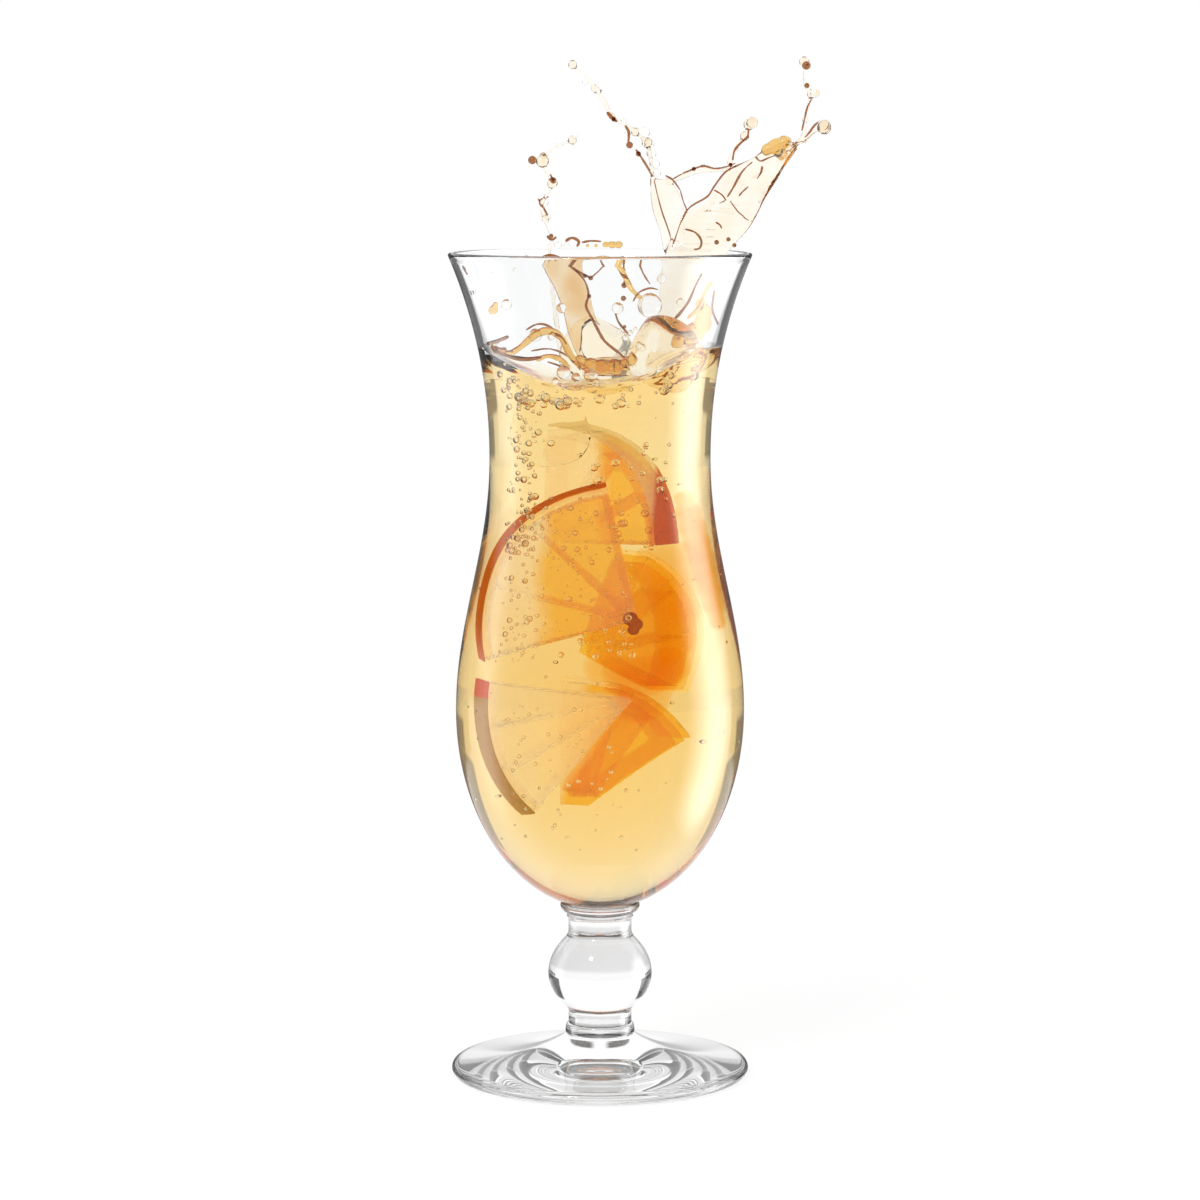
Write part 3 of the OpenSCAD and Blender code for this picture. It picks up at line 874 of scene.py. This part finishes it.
# Places in the splash, in pixels of the photograph's part above the drink, enlarged
# VIEW_SCALE times from its corner at VIEW_CORNER. Depths are millimetres behind the axis. A line
# holds its depth, its radius and its places; a bead holds its place, its depth and its radius.
VIEW_CORNER = (430, 40)
VIEW_SCALE = 3.733
# The threads in this table are painted shade: near-black lines along the splash's edges, where clear liquid
# shows dark rims by bending dark surroundings into view.
SHADE_EDGES = (
    (5, 4, ((905, 775), (930, 700), (950, 650), (978, 618), (1035, 585), (1060, 548), (1100, 495),
            (1135, 474), (1180, 455), (1220, 434), (1252, 402))),
    (4, 4, ((1060, 560), (1090, 578), (1108, 602), (1082, 612))),
    (3, 6, ((1112, 588), (1135, 555), (1152, 525), (1172, 488), (1205, 455))),
    (0, 4, ((1155, 584), (1172, 566), (1194, 548))),
    (-2, 3, ((1120, 600), (1150, 640), (1192, 672))),
    (6, 4, ((905, 520), (940, 500), (985, 481), (1022, 470), (1062, 480), (1104, 474), (1140, 460))),
    (7, 5, ((1130, 450), (1136, 415), (1160, 384), (1186, 360), (1188, 330))),
    (0, 5, ((1352, 402), (1392, 376), (1412, 352), (1436, 318), (1460, 300))),
    (1, 4, ((1388, 340), (1398, 296), (1410, 248), (1424, 222))),
    (7, 3, ((934, 560), (946, 604), (958, 640), (942, 690))),
    (2, 5, ((952, 706), (990, 718), (1014, 748), (1008, 776), (985, 782))),
    (-3, 7, ((355, 806), (400, 822), (445, 804), (500, 822), (542, 858), (600, 888))),
    (-3, 6, ((542, 858), (578, 900), (592, 950), (582, 992), (602, 1034), (626, 1080), (652, 1124),
             (700, 1164), (744, 1200), (800, 1226), (860, 1232), (920, 1210), (966, 1168))),
    (-4, 4, ((600, 888), (632, 860), (662, 830), (722, 810), (760, 826))),
    (-4, 4, ((780, 830), (796, 872), (822, 912))),
    (-4, 5, ((722, 836), (727, 880), (724, 918))),
    (-4, 4, ((758, 976), (780, 942), (820, 926), (852, 932))),
    (-2, 6, ((1016, 870), (990, 920), (968, 972), (938, 1014), (905, 1050), (880, 1076), (902, 1104),
             (934, 1112))),
    (-12, 9, ((222, 1132), (262, 1120), (300, 1104))),
    (-14, 9, ((232, 1142), (300, 1178), (366, 1190), (420, 1182))),
    (-8, 5, ((360, 1082), (400, 1060), (442, 1066), (482, 1102), (502, 1142))),
    (-10, 4, ((380, 1160), (450, 1152), (520, 1182), (562, 1232))),
    (-12, 4, ((440, 1200), (500, 1222), (560, 1262))),
    (-5, 5, ((690, 1010), (702, 1050), (730, 1086), (748, 1104))),
    (8, 7, ((505, 752), (530, 738), (556, 752), (548, 772))),
    (8, 5, ((566, 756), (600, 750), (640, 752))),
    (6, 3, ((836, 520), (852, 590), (872, 660), (898, 728), (912, 760))),
    (6, 4, ((878, 506), (906, 522), (934, 560))),
    (13, 8, ((660, 268), (682, 292), (700, 305))),
    (12, 6, ((728, 318), (742, 345), (740, 386))),
    (9, 5, ((768, 408), (790, 440), (815, 480), (832, 512))),
    (14, 5, ((404, 592), (421, 622), (440, 656))),
    (14, 4, ((408, 602), (428, 590), (444, 585))),
    (10, 6, ((448, 500), (462, 528))),
    (14, 6, ((436, 730), (455, 746), (472, 734))),
    (-3, 5, ((1240, 470), (1236, 494), (1222, 520))),
    (0, 4, ((1215, 434), (1232, 452), (1262, 442), (1300, 436))),
    (-1, 4, ((1066, 680), (1082, 690), (1090, 704))),
    (-14, 6, ((128, 838), (138, 852), (152, 872))),
    (-12, 5, ((162, 930), (168, 948))),
    (-12, 5, ((1056, 930), (1046, 1000), (1062, 1060))),
)
SWIRLS = (
    (-11, 15, ((250, 1160), (306, 1166), (350, 1138), (396, 1098), (446, 1084), (490, 1108), (514, 1156),
               (548, 1206), (600, 1236))),
    (-10, 11, ((398, 1196), (440, 1178), (490, 1192), (524, 1226))),
    (-6, 12, ((588, 828), (640, 812), (690, 830), (722, 872), (752, 930), (790, 966))),
    (-5, 10, ((1050, 900), (1020, 950), (1000, 1000), (960, 1040))),
)
# The beads in this table are painted shade: near-black spots in the splash, where clear liquid shows dark by
# bending dark surroundings into view.
SHADE_BEADS = (
    (1405, 95, 1, 16), (1407, 170, 1, 10), (745, 392, 10, 13), (778, 425, 9, 10), (686, 296, 13, 9),
    (382, 448, 9, 16), (460, 524, 11, 12), (985, 481, 6, 8), (1122, 466, 5, 8), (452, 732, 15, 9),
    (1070, 755, 0, 9), (1114, 744, -2, 8), (1136, 766, -2, 8), (725, 915, -4, 11), (600, 888, -3, 9),
    (578, 880, -3, 8), (422, 822, -3, 10), (594, 956, -3, 8), (722, 964, -4, 10), (726, 1070, -5, 7),
)
CLEAR_BEADS = (
    (1470, 321, -5, 25), (1437, 198, 1, 17), (1202, 308, 8, 22), (798, 346, 12, 22), (820, 386, 11, 17),
    (826, 424, 10, 18), (840, 462, 9, 17), (846, 496, 8, 16), (740, 345, 12, 12), (724, 300, 12, 9),
    (632, 190, 15, 10), (580, 156, 16, 11), (422, 432, 10, 13), (538, 358, 9, 12), (474, 384, 9, 7),
    (424, 606, 14, 18), (440, 660, 15, 11), (1236, 602, -3, 11), (478, 764, 15, 14), (510, 765, 15, 11),
    (700, 1000, -6, 22), (820, 990, -5, 46), (864, 890, -4, 18), (935, 980, -4, 16), (748, 1092, -6, 10),
    (706, 1084, -6, 9), (730, 1110, -6, 11), (766, 1078, -6, 8), (500, 1240, -14, 26), (600, 1250, -14, 26),
    (545, 1258, -15, 17), (622, 1274, -16, 13), (470, 1270, -16, 12), (290, 985, -16, 20),
    (490, 1000, -8, 19), (136, 850, -14, 10), (166, 940, -14, 8), (240, 870, -16, 8), (266, 826, -16, 6),
    (320, 856, -14, 8), (395, 1100, -10, 24), (455, 1104, -10, 16), (1100, 480, 6, 9), (1020, 470, 6, 8),
    (800, 1150, -8, 14),
)
AMBER_LUMPS = {
    "amber_cap": ((1262, 410, 2, 26), (1292, 398, 2, 32), (1322, 386, 1, 30), (1306, 420, 1, 24)),
    "amber_wall": ((1012, 985, 4, 24), (1026, 1020, 4, 34), (1020, 1062, 4, 40), (990, 1095, 4, 42),
                   (950, 1120, 4, 34), (908, 1140, 3, 22)),
    "amber_foot": ((560, 1195, -9, 22), (600, 1212, -9, 28), (645, 1220, -9, 32), (690, 1220, -9, 32),
                   (735, 1208, -9, 26), (770, 1190, -8, 18)),
    "deep_drop": ((236, 1142, -15, 8), (258, 1148, -15, 12), (284, 1154, -15, 12), (312, 1160, -15, 8)),
    "amber_box": ((655, 764, 8, 13), (680, 764, 8, 15), (706, 764, 8, 15), (588, 768, 8, 9),
                  (620, 768, 8, 9)),
    "amber_drop": ((245, 1004, -16, 18), (252, 984, -16, 12)),
}


def sheet_push(co):
    """Fine waves all over the splash, and broad ones that grow from its tips downwards."""
    broad = min(max(TIPS_Z - co.z, 0) / 20, MM) * 0.45
    return 0.25 * MM * (noise.noise(co * 260) - 0.45) + broad * noise.noise(co * 140)


def seen(across, down, depth):
    """The place at a depth that the camera sees at a pixel of the enlarged part."""
    ahead = Vector((0, math.cos(CAMERA_PITCH), -math.sin(CAMERA_PITCH)))
    up = Vector((0, math.sin(CAMERA_PITCH), math.cos(CAMERA_PITCH)))
    right = VIEW_CORNER[0] + across / VIEW_SCALE - FRAME_PIXELS / 2
    rise = FRAME_PIXELS / 2 - VIEW_CORNER[1] - down / VIEW_SCALE
    way = ahead * FOCAL_PIXELS + Vector((right, 0, 0)) + up * rise
    start = CAMERA_AIM - ahead * CAMERA_FAR
    return start + way * ((depth * MM - start.y) / way.y)


def seen_ball(across, down, depth, radius):
    """The place that the camera sees, and a radius in the same pixels made a length."""
    return seen(across, down, depth), radius / VIEW_SCALE * CAMERA_FAR / FOCAL_PIXELS


# A thread's steps between two places, its thickness at the ends and how much more it has in
# the middle, how uneven it is, and over how many pixels that changes.
THREAD_STEPS = 3
THREAD_ENDS, THREAD_MIDDLE = 0.55, 0.45
THREAD_UNEVEN = 0.35
THREAD_GRAIN = 18


def curved(line, depth, radius):
    """A smooth line of places and radii through the places, thinner at its ends."""
    far = len(line) - 1
    found = []
    for i in range(far):
        a, b, c, d = (line[max(i - 1, 0)], line[i], line[i + 1], line[min(i + 2, far)])
        for k in range(THREAD_STEPS):
            t = k / THREAD_STEPS
            found.append(tuple(
                b[n] + t * ((c[n] - a[n]) + t * ((2 * a[n] - 5 * b[n] + 4 * c[n] - d[n])
                                                 + t * (3 * b[n] - a[n] - 3 * c[n] + d[n]))) / 2
                for n in (0, 1)))
    found.append(line[-1])
    last = len(found) - 1

    def thick(i, x, y):
        whole = THREAD_ENDS + THREAD_MIDDLE * math.sin(math.pi * i / last)
        return radius * whole * (
            1 + THREAD_UNEVEN * noise.noise(Vector((x / THREAD_GRAIN, y / THREAD_GRAIN, depth))))

    return [seen_ball(x, y, depth, thick(i, x, y)) for i, (x, y) in enumerate(found)]


def threads(name, lines):
    """Threads of liquid: lines of (place, radius) drawn in edit mode, then given flesh and rounded."""
    deselect()
    bpy.ops.mesh.primitive_plane_add(size=MM, location=lines[0][0][0])
    obj = named(name)
    bpy.ops.object.transform_apply(location=True, rotation=False, scale=False)
    bpy.ops.object.mode_set(mode="EDIT")
    for number, line in enumerate(lines):
        if number:
            bpy.ops.mesh.select_all(action="DESELECT")
            bpy.ops.mesh.primitive_plane_add(size=MM, location=line[0][0])
        else:
            bpy.ops.mesh.select_all(action="SELECT")
        bpy.ops.mesh.merge(type="CENTER")
        for (here, _), (there, _) in zip(line, line[1:]):
            bpy.ops.mesh.extrude_region_move(TRANSFORM_OT_translate={"value": there - here})
    bpy.ops.object.mode_set(mode="OBJECT")
    bpy.ops.object.modifier_add(type="SKIN")
    radii = [radius for line in lines for _, radius in line]
    starts = {sum(len(line) for line in lines[:i]) for i in range(len(lines))}
    for number, (vertex, radius) in enumerate(zip(obj.data.skin_vertices[0].data, radii)):
        vertex.radius = (radius, radius)
        vertex.use_root = number in starts
    obj.modifiers.new("round", "SUBSURF").levels = 2
    apply_modifiers(obj)
    bpy.ops.object.shade_smooth()
    return obj


def ball(place, radius, parts):
    bpy.ops.mesh.primitive_ico_sphere_add(subdivisions=parts, radius=radius, location=place)


def balls(name, places, parts=3):
    """One piece of many balls."""
    deselect()
    ball(*places[0], parts)
    obj = named(name)
    bpy.ops.object.transform_apply(location=True, rotation=True, scale=True)
    bpy.ops.object.mode_set(mode="EDIT")
    for place, radius in places[1:]:
        ball(place, radius, parts)
    bpy.ops.object.mode_set(mode="OBJECT")
    bpy.ops.object.shade_smooth()
    return obj


TIPS_Z = 0.235
PALE_DENSITY = 150.0
STRONG_DENSITY = 900.0


class GLASS_OT_splash(bpy.types.Operator):
    """Round the splash's sheets, strands and beads as liquid rounds itself"""

    bl_idname = "hurricane.splash"
    bl_label = "Splash"

    def execute(self, context):
        pale = thin_liquid("pale_liquid", PALE_DENSITY)
        strong = thin_liquid("strong_liquid", STRONG_DENSITY)
        for node in SPLASHES:
            liquid = strong if node == "splash_crown" else pale
            sheet = remeshed(copy_of_node(f"liquid_{node}", node), FINE_VOXEL, SHEET_ROUNDS)
            push(sheet, sheet_push)
            finish_piece(sheet, liquid, "thin_drink", node)
        # Painted shade: a near-black liquid for the dark rims and spots along the splash.
        dark = tinted_liquid("painted_shade_liquid", (0.36, 0.15, 0.06))
        amber = tinted_liquid("amber_liquid", (0.86, 0.56, 0.20))
        deep = tinted_liquid("deep_liquid", (0.72, 0.30, 0.06))
        clear = tinted_liquid("clear_liquid", (1.0, 0.98, 0.95))
        edges = threads("painted_shade_edges", [curved(line, depth, r) for depth, r, line in SHADE_EDGES])
        finish_piece(edges, dark, "thin_drink")
        swirls = threads("amber_swirls", [curved(line, depth, r) for depth, r, line in SWIRLS])
        finish_piece(swirls, amber, "thin_drink")
        for name, material, beads in (
                ("painted_shade_beads", dark, SHADE_BEADS), ("clear_beads", clear, CLEAR_BEADS)):
            finish_piece(balls(name, [seen_ball(*bead) for bead in beads]), material, "thin_drink")
        for name, lumps in AMBER_LUMPS.items():
            lump = balls(name, [seen_ball(*bead) for bead in lumps])
            look = deep if name.startswith("deep") else amber
            finish_piece(remeshed(lump, FINE_VOXEL, LUMP_ROUNDS), look, "thin_drink")
        return {"FINISHED"}


# Bubbles, in millimetres. The stream at the left: how many, between which heights, its middle
# and spread from side to side, between which depths, and their radii.
STREAM = (150, (132, 178), (-17.5, 2.6), (-17, -11), (0.25, 0.35, 0.5, 0.5, 0.7, 0.95))
# Those on the front wedge: how many, and their radii.
ON_FRUIT = (230, (0.2, 0.25, 0.3, 0.4, 0.5, 0.75))
# Stray ones: how many, between which heights, sides and depths, and their radii.
STRAYS = (
    (60, (64, 96), (-22, 6), (-19, -16), (0.25, 0.35, 0.5)),
    (40, (133, 160), (-2, 16), (-16, -12), (0.3, 0.5, 0.7, 1.0)),
)
# Those along the wall: how many, between which heights, how far inside it, and their radii.
ON_WALL = (120, (60, 178), 1.2, (0.2, 0.3, 0.4))
# Those under the surface: how many, sides, depths, how far below it, and their radii.
UNDER_TOP = (60, (-22, 22), (-24, -8), (1, 6), (0.4, 0.6, 0.9, 1.3))
WALL_GAP = 0.3 * MM
TOP_GAP = 0.4 * MM


def bubble_places(rng):
    """Places and radii of the bubbles, drawn in an order that stays."""
    found = []

    def draw(limits):
        return rng.uniform(*limits) * MM

    def add(x, y, z, radius):
        if math.hypot(x, y) + radius < inside_r(z) - WALL_GAP and z + radius < surface_z(x, y) - TOP_GAP:
            found.append((Vector((x, y, z)), radius))

    count, levels, spread, depths, radii = STREAM
    for _ in range(count):
        z = draw(levels)
        x = rng.gauss(*spread) * MM
        add(x, draw(depths), z, rng.choice(radii) * MM)
    low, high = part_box("wedge_front_pulp")
    count, radii = ON_FRUIT
    for _ in range(count):
        x, z = rng.uniform(low.x, high.x), rng.uniform(low.z, high.z)
        radius = rng.choice(radii) * MM
        add(x, low.y - radius, z, radius)
    for count, levels, sides, depths, radii in STRAYS:
        for _ in range(count):
            z = draw(levels)
            add(draw(sides), draw(depths), z, rng.choice(radii) * MM)
    count, levels, inward, radii = ON_WALL
    for _ in range(count):
        z = draw(levels)
        r = inside_r(z) - inward * MM
        a = rng.uniform(0, math.tau)
        add(r * math.cos(a), r * math.sin(a), z, rng.choice(radii) * MM)
    count, sides, depths, below, radii = UNDER_TOP
    for _ in range(count):
        x, y = draw(sides), draw(depths)
        add(x, y, surface_z(x, y) - draw(below), rng.choice(radii) * MM)
    return found


class GLASS_OT_bubbles(bpy.types.Operator):
    """Set bubbles in the drink, along the wall and on the fruit"""

    bl_idname = "hurricane.bubbles"
    bl_label = "Bubbles"

    def execute(self, context):
        bubbles = balls("bubbles", bubble_places(random.Random(drink_sizes().seed)), 2)
        finish_piece(bubbles, bubble_air(), "amber_drink")
        return {"FINISHED"}


# The dark flags round the white room: how many degrees off straight behind the glass they
# stand, how high they reach as a share of straight up, and how dark they are.
FLAGS = (
    ((42, 79), (0.03, 0.42), 0.01),
    ((50, 74), (-0.09, 0.02), 0.2),
    ((80, 130), (0.12, 0.72), 0.1),
)
# The flag that only light thrown back by a wall meets.
WALL_FLAG = ((4, 50), (-0.25, 0.16), 0.15)
FLAG_SIDE_EDGE = math.radians(2)
FLAG_TOP_EDGE = 0.02
FLAG_LEAST = 0.38
# A path that passes more surfaces than the first is long, and one that passes fewer than the
# second is short.
LONG_PATH = 3.5
SHORT_PATH = 2.5
CEILING = (0.72, 0.88)
CEILING_SHADE = 0.15
ROOM_LEVEL = 1.1
SOFT_LEVEL = 0.72
# How bright the room is in a reflection that comes from in front, and where front turns to back.
MIRRORED = 0.12
FRONT_TO_BACK = (-0.3, 0.3)
LAMP_SIZE = (0.6, 0.5)
LAMP_PLACE = (-0.45, -0.6, 0.75)
LAMP_POWER = 5
# For each card: its azimuth, its middle's height, its width, its height and its level.
CARDS = (
    ("left_card", -math.radians(104), 0.02, 0.6, 1.3, 1.6),
    ("right_card", math.radians(100), -0.08, 0.95, 1.25, 6.0),
    ("spark_card", -math.radians(28), 0.95, 0.22, 0.22, 45.0),
)
CARD_FAR = 0.8
# Over which share of its width and of its height a card fades in from each edge.
CARD_FADES = (("X", 0.5), ("Y", 0.3))
FLOOR_R = 0.65
FLOOR_GLOW = 0.8
FLOOR_SEEN = 1.06
# The floor's level in bent or thrown-back light, near the glass and beyond, and where that changes.
FLOOR_BENT = (0.84, 1.10)
FLOOR_NEAR = (0.12, 0.20)
FLOOR_DROP = 0.15 * MM


def counted(nodes, path, out, test, limit):
    """1 where a count of the light's path passes a test, and 0 elsewhere."""
    check = nodes.add("ShaderNodeMath", operation=test)
    check.inputs[1].default_value = limit
    nodes.join(path, out, check, 0)
    return check


def mirrored(nodes, path):
    """1 on paths that a surface has thrown back and 0 on those that only pass through."""
    return counted(nodes, path, "Glossy Depth", "GREATER_THAN", 0.5)


def flagged(nodes, side, parts, flag, *tests):
    """A flag's darkness where it stands and where some tests hold too, and 1 elsewhere."""
    (near, far), (low, high), dark = flag
    aside = band(nodes, side, "Value", math.radians(near), math.radians(far), FLAG_SIDE_EDGE)
    above = band(nodes, parts, "Z", low, high, FLAG_TOP_EDGE)
    return either_value(nodes, product(nodes, aside, above, *tests), 0, 1.0, dark)


def white_light(nodes, kind, strength):
    """White light whose strength is a node's first output."""
    light = nodes.add(kind)
    light.inputs["Color"].default_value = (1, 1, 1, 1)
    nodes.join(strength, 0, light, "Strength")
    return light


def card_light(name, level):
    """Clear but for a light that reflections show, faded towards the card's edges."""
    material, nodes = new_material(name)
    place = nodes.add("ShaderNodeUVMap")
    parts = nodes.add("ShaderNodeSeparateXYZ")
    nodes.join(place, "UV", parts, "Vector")
    fades = []
    for axis, edge in CARD_FADES:
        inward = nodes.add("ShaderNodeMath", operation="PINGPONG")
        inward.inputs[1].default_value = 0.5
        nodes.join(parts, axis, inward, 0)
        fades.append(ramp_value(nodes, inward, "Value", 0.0, edge, 0.0, 1.0))
    both = product(nodes, *fades, mirrored(nodes, nodes.add("ShaderNodeLightPath")))
    strength = nodes.add("ShaderNodeMath", operation="MULTIPLY")
    strength.inputs[1].default_value = level
    nodes.join(both, "Value", strength, 0)
    total = nodes.add("ShaderNodeAddShader")
    nodes.join(white_light(nodes, "ShaderNodeEmission", strength), 0, total, 0)
    nodes.join(nodes.add("ShaderNodeBsdfTransparent"), 0, total, 1)
    output = nodes.add("ShaderNodeOutputMaterial")
    nodes.join(total, "Shader", output, "Surface")
    return material


class GLASS_OT_stage(bpy.types.Operator):
    """Set the pale floor, the white room, the soft lamp, the cards and the camera"""

    bl_idname = "hurricane.stage"
    bl_label = "Stage"

    def execute(self, context):
        self.camera()
        self.floor()
        self.world()
        self.lamp()
        self.cards()
        scene = bpy.context.scene
        scene.view_settings.view_transform = "Standard"
        cycles = scene.cycles
        cycles.max_bounces = 28
        cycles.transmission_bounces = 28
        cycles.glossy_bounces = 12
        cycles.diffuse_bounces = 4
        cycles.transparent_max_bounces = 16
        cycles.use_denoising = True
        cycles.denoiser = "OPENIMAGEDENOISE"
        cycles.blur_glossy = 0.3
        return {"FINISHED"}

    def camera(self):
        data = bpy.data.cameras.new("camera")
        data.sensor_width = SENSOR
        data.lens = FOCAL_PIXELS / FRAME_PIXELS * SENSOR
        data.clip_start = 0.01
        camera = bpy.data.objects.new("camera", data)
        bpy.context.scene.collection.objects.link(camera)
        away = Vector((0, -math.cos(CAMERA_PITCH), math.sin(CAMERA_PITCH)))
        camera.location = CAMERA_AIM + away * CAMERA_FAR
        camera.rotation_euler = (math.pi / 2 - CAMERA_PITCH, 0, 0)
        bpy.context.scene.camera = camera

    def floor(self):
        deselect()
        bpy.ops.mesh.primitive_circle_add(vertices=96, radius=FLOOR_R, fill_type="NGON", location=(0, 0, 0))
        floor = named("floor")
        floor.data.transform(Matrix.Translation((0, 0, -FLOOR_DROP)))
        floor.visible_glossy = False
        material, nodes = new_material("floor")
        matte = nodes.add("ShaderNodeBsdfDiffuse")
        matte.inputs["Color"].default_value = (0.95, 0.95, 0.95, 1)
        path = nodes.add("ShaderNodeLightPath")
        share = either_value(nodes, path, "Is Diffuse Ray", FLOOR_GLOW, 0.0)
        place = nodes.add("ShaderNodeTexCoord")
        reach = nodes.add("ShaderNodeVectorMath", operation="LENGTH")
        nodes.join(place, "Object", reach, 0)
        far = ramp_value(nodes, reach, "Value", *FLOOR_NEAR, *FLOOR_BENT)
        seen = either_value(nodes, path, "Is Camera Ray", far, FLOOR_SEEN)
        mix = nodes.add("ShaderNodeMixShader")
        nodes.join(share, 0, mix, "Fac")
        nodes.join(matte, "BSDF", mix, 1)
        nodes.join(white_light(nodes, "ShaderNodeEmission", seen), 0, mix, 2)
        output = nodes.add("ShaderNodeOutputMaterial")
        nodes.join(mix, "Shader", output, "Surface")
        floor.data.materials.append(material)

    def world(self):
        world = bpy.data.worlds.new("studio")
        bpy.context.scene.world = world
        world.use_nodes = True
        world.node_tree.nodes.clear()
        nodes = Nodes(world.node_tree)
        place = nodes.add("ShaderNodeTexCoord")
        parts = nodes.add("ShaderNodeSeparateXYZ")
        nodes.join(place, "Generated", parts, "Vector")
        angle = nodes.add("ShaderNodeMath", operation="ARCTAN2")
        nodes.join(parts, "X", angle, 0)
        nodes.join(parts, "Y", angle, 1)
        side = nodes.add("ShaderNodeMath", operation="ABSOLUTE")
        nodes.join(angle, "Value", side, 0)
        path = nodes.add("ShaderNodeLightPath")
        # Light on a long path, through both walls of the bowl, would show the flags as dark boxes
        # in the drink, so they keep a least level there.
        long = counted(nodes, path, "Transmission Depth", "GREATER_THAN", LONG_PATH)
        shade = nodes.add("ShaderNodeMath", operation="MAXIMUM")
        nodes.join(product(nodes, *(flagged(nodes, side, parts, flag) for flag in FLAGS)), 0, shade, 0)
        nodes.join(either_value(nodes, long, 0, 0.0, FLAG_LEAST), 0, shade, 1)
        ceiling = ramp_value(nodes, parts, "Z", *CEILING, ROOM_LEVEL, CEILING_SHADE)
        room = product(nodes, shade, ceiling)
        front = ramp_value(nodes, parts, "Y", *FRONT_TO_BACK, MIRRORED, 1)
        # Light that a wall throws back, outside or inside itself, draws the bowl's edges dark.
        short = counted(nodes, path, "Transmission Depth", "LESS_THAN", SHORT_PATH)
        line = flagged(nodes, side, parts, WALL_FLAG, short)
        bent = either_value(nodes, mirrored(nodes, path), 0, room, product(nodes, room, front, line))
        lit = either_value(nodes, path, "Is Diffuse Ray", bent, SOFT_LEVEL)
        seen = either_value(nodes, path, "Is Camera Ray", lit, 1.0)
        output = nodes.add("ShaderNodeOutputWorld")
        nodes.join(white_light(nodes, "ShaderNodeBackground", seen), 0, output, "Surface")

    def lamp(self):
        data = bpy.data.lights.new("soft_box", "AREA")
        data.shape = "RECTANGLE"
        data.size, data.size_y = LAMP_SIZE
        data.energy = LAMP_POWER
        lamp = bpy.data.objects.new("soft_box", data)
        bpy.context.scene.collection.objects.link(lamp)
        lamp.location = LAMP_PLACE
        lamp.rotation_euler = (CAMERA_AIM - lamp.location).to_track_quat("-Z", "Y").to_euler()
        lamp.visible_camera = False
        lamp.visible_glossy = False
        lamp.visible_transmission = False

    def cards(self):
        """Bright cards that only gloss shows: one at each side, and a small one high in front."""
        for name, azimuth, middle_z, width, height, level in CARDS:
            deselect()
            bpy.ops.mesh.primitive_plane_add(size=1)
            card = named(name)
            middle = Vector((math.sin(azimuth), -math.cos(azimuth), 0)) * CARD_FAR + Vector((0, 0, middle_z))
            faces = middle if middle_z > CARD_FAR else Vector((middle.x, middle.y, 0))
            turn = faces.to_track_quat("Z", "Y").to_matrix().to_4x4()
            scale = Matrix.Diagonal((width, height, 1, 1))
            card.data.transform(Matrix.Translation(middle) @ turn @ scale)
            card.data.materials.append(card_light(name, level))
            card.visible_camera = False
            card.visible_diffuse = False
            card.visible_transmission = False
            card.visible_shadow = False


class GLASS_PT_panel(bpy.types.Panel):
    """Lists the pieces in the 3D view's sidebar"""

    bl_idname = "GLASS_PT_panel"
    bl_label = "Hurricane glass"
    bl_space_type = "VIEW_3D"
    bl_region_type = "UI"
    bl_category = "Glass"

    def draw(self, context):
        for operator in OPERATORS:
            self.layout.operator(operator.bl_idname)
        for group in ("glass_sizes", "drink_sizes", "fruit_colours"):
            holder = getattr(context.scene, group)
            for key in holder.__annotations__:
                self.layout.prop(holder, key)


OPERATORS = (
    GLASS_OT_stage, GLASS_OT_bowl, GLASS_OT_stem, GLASS_OT_drink, GLASS_OT_wedges,
    GLASS_OT_ice, GLASS_OT_splash, GLASS_OT_bubbles,
)
GROUPS = (GlassSizes, DrinkSizes, FruitColours)


def register():
    for cls in GROUPS + OPERATORS + (GLASS_PT_panel,):
        bpy.utils.register_class(cls)
    bpy.types.Scene.glass_sizes = bpy.props.PointerProperty(type=GlassSizes)
    bpy.types.Scene.drink_sizes = bpy.props.PointerProperty(type=DrinkSizes)
    bpy.types.Scene.fruit_colours = bpy.props.PointerProperty(type=FruitColours)


def unregister():
    del bpy.types.Scene.fruit_colours
    del bpy.types.Scene.drink_sizes
    del bpy.types.Scene.glass_sizes
    for cls in reversed(GROUPS + OPERATORS + (GLASS_PT_panel,)):
        bpy.utils.unregister_class(cls)


def main():
    register()
    for operator in OPERATORS:
        group, call = operator.bl_idname.split(".")
        getattr(getattr(bpy.ops, group), call)()


if __name__ == "__main__":
    main()
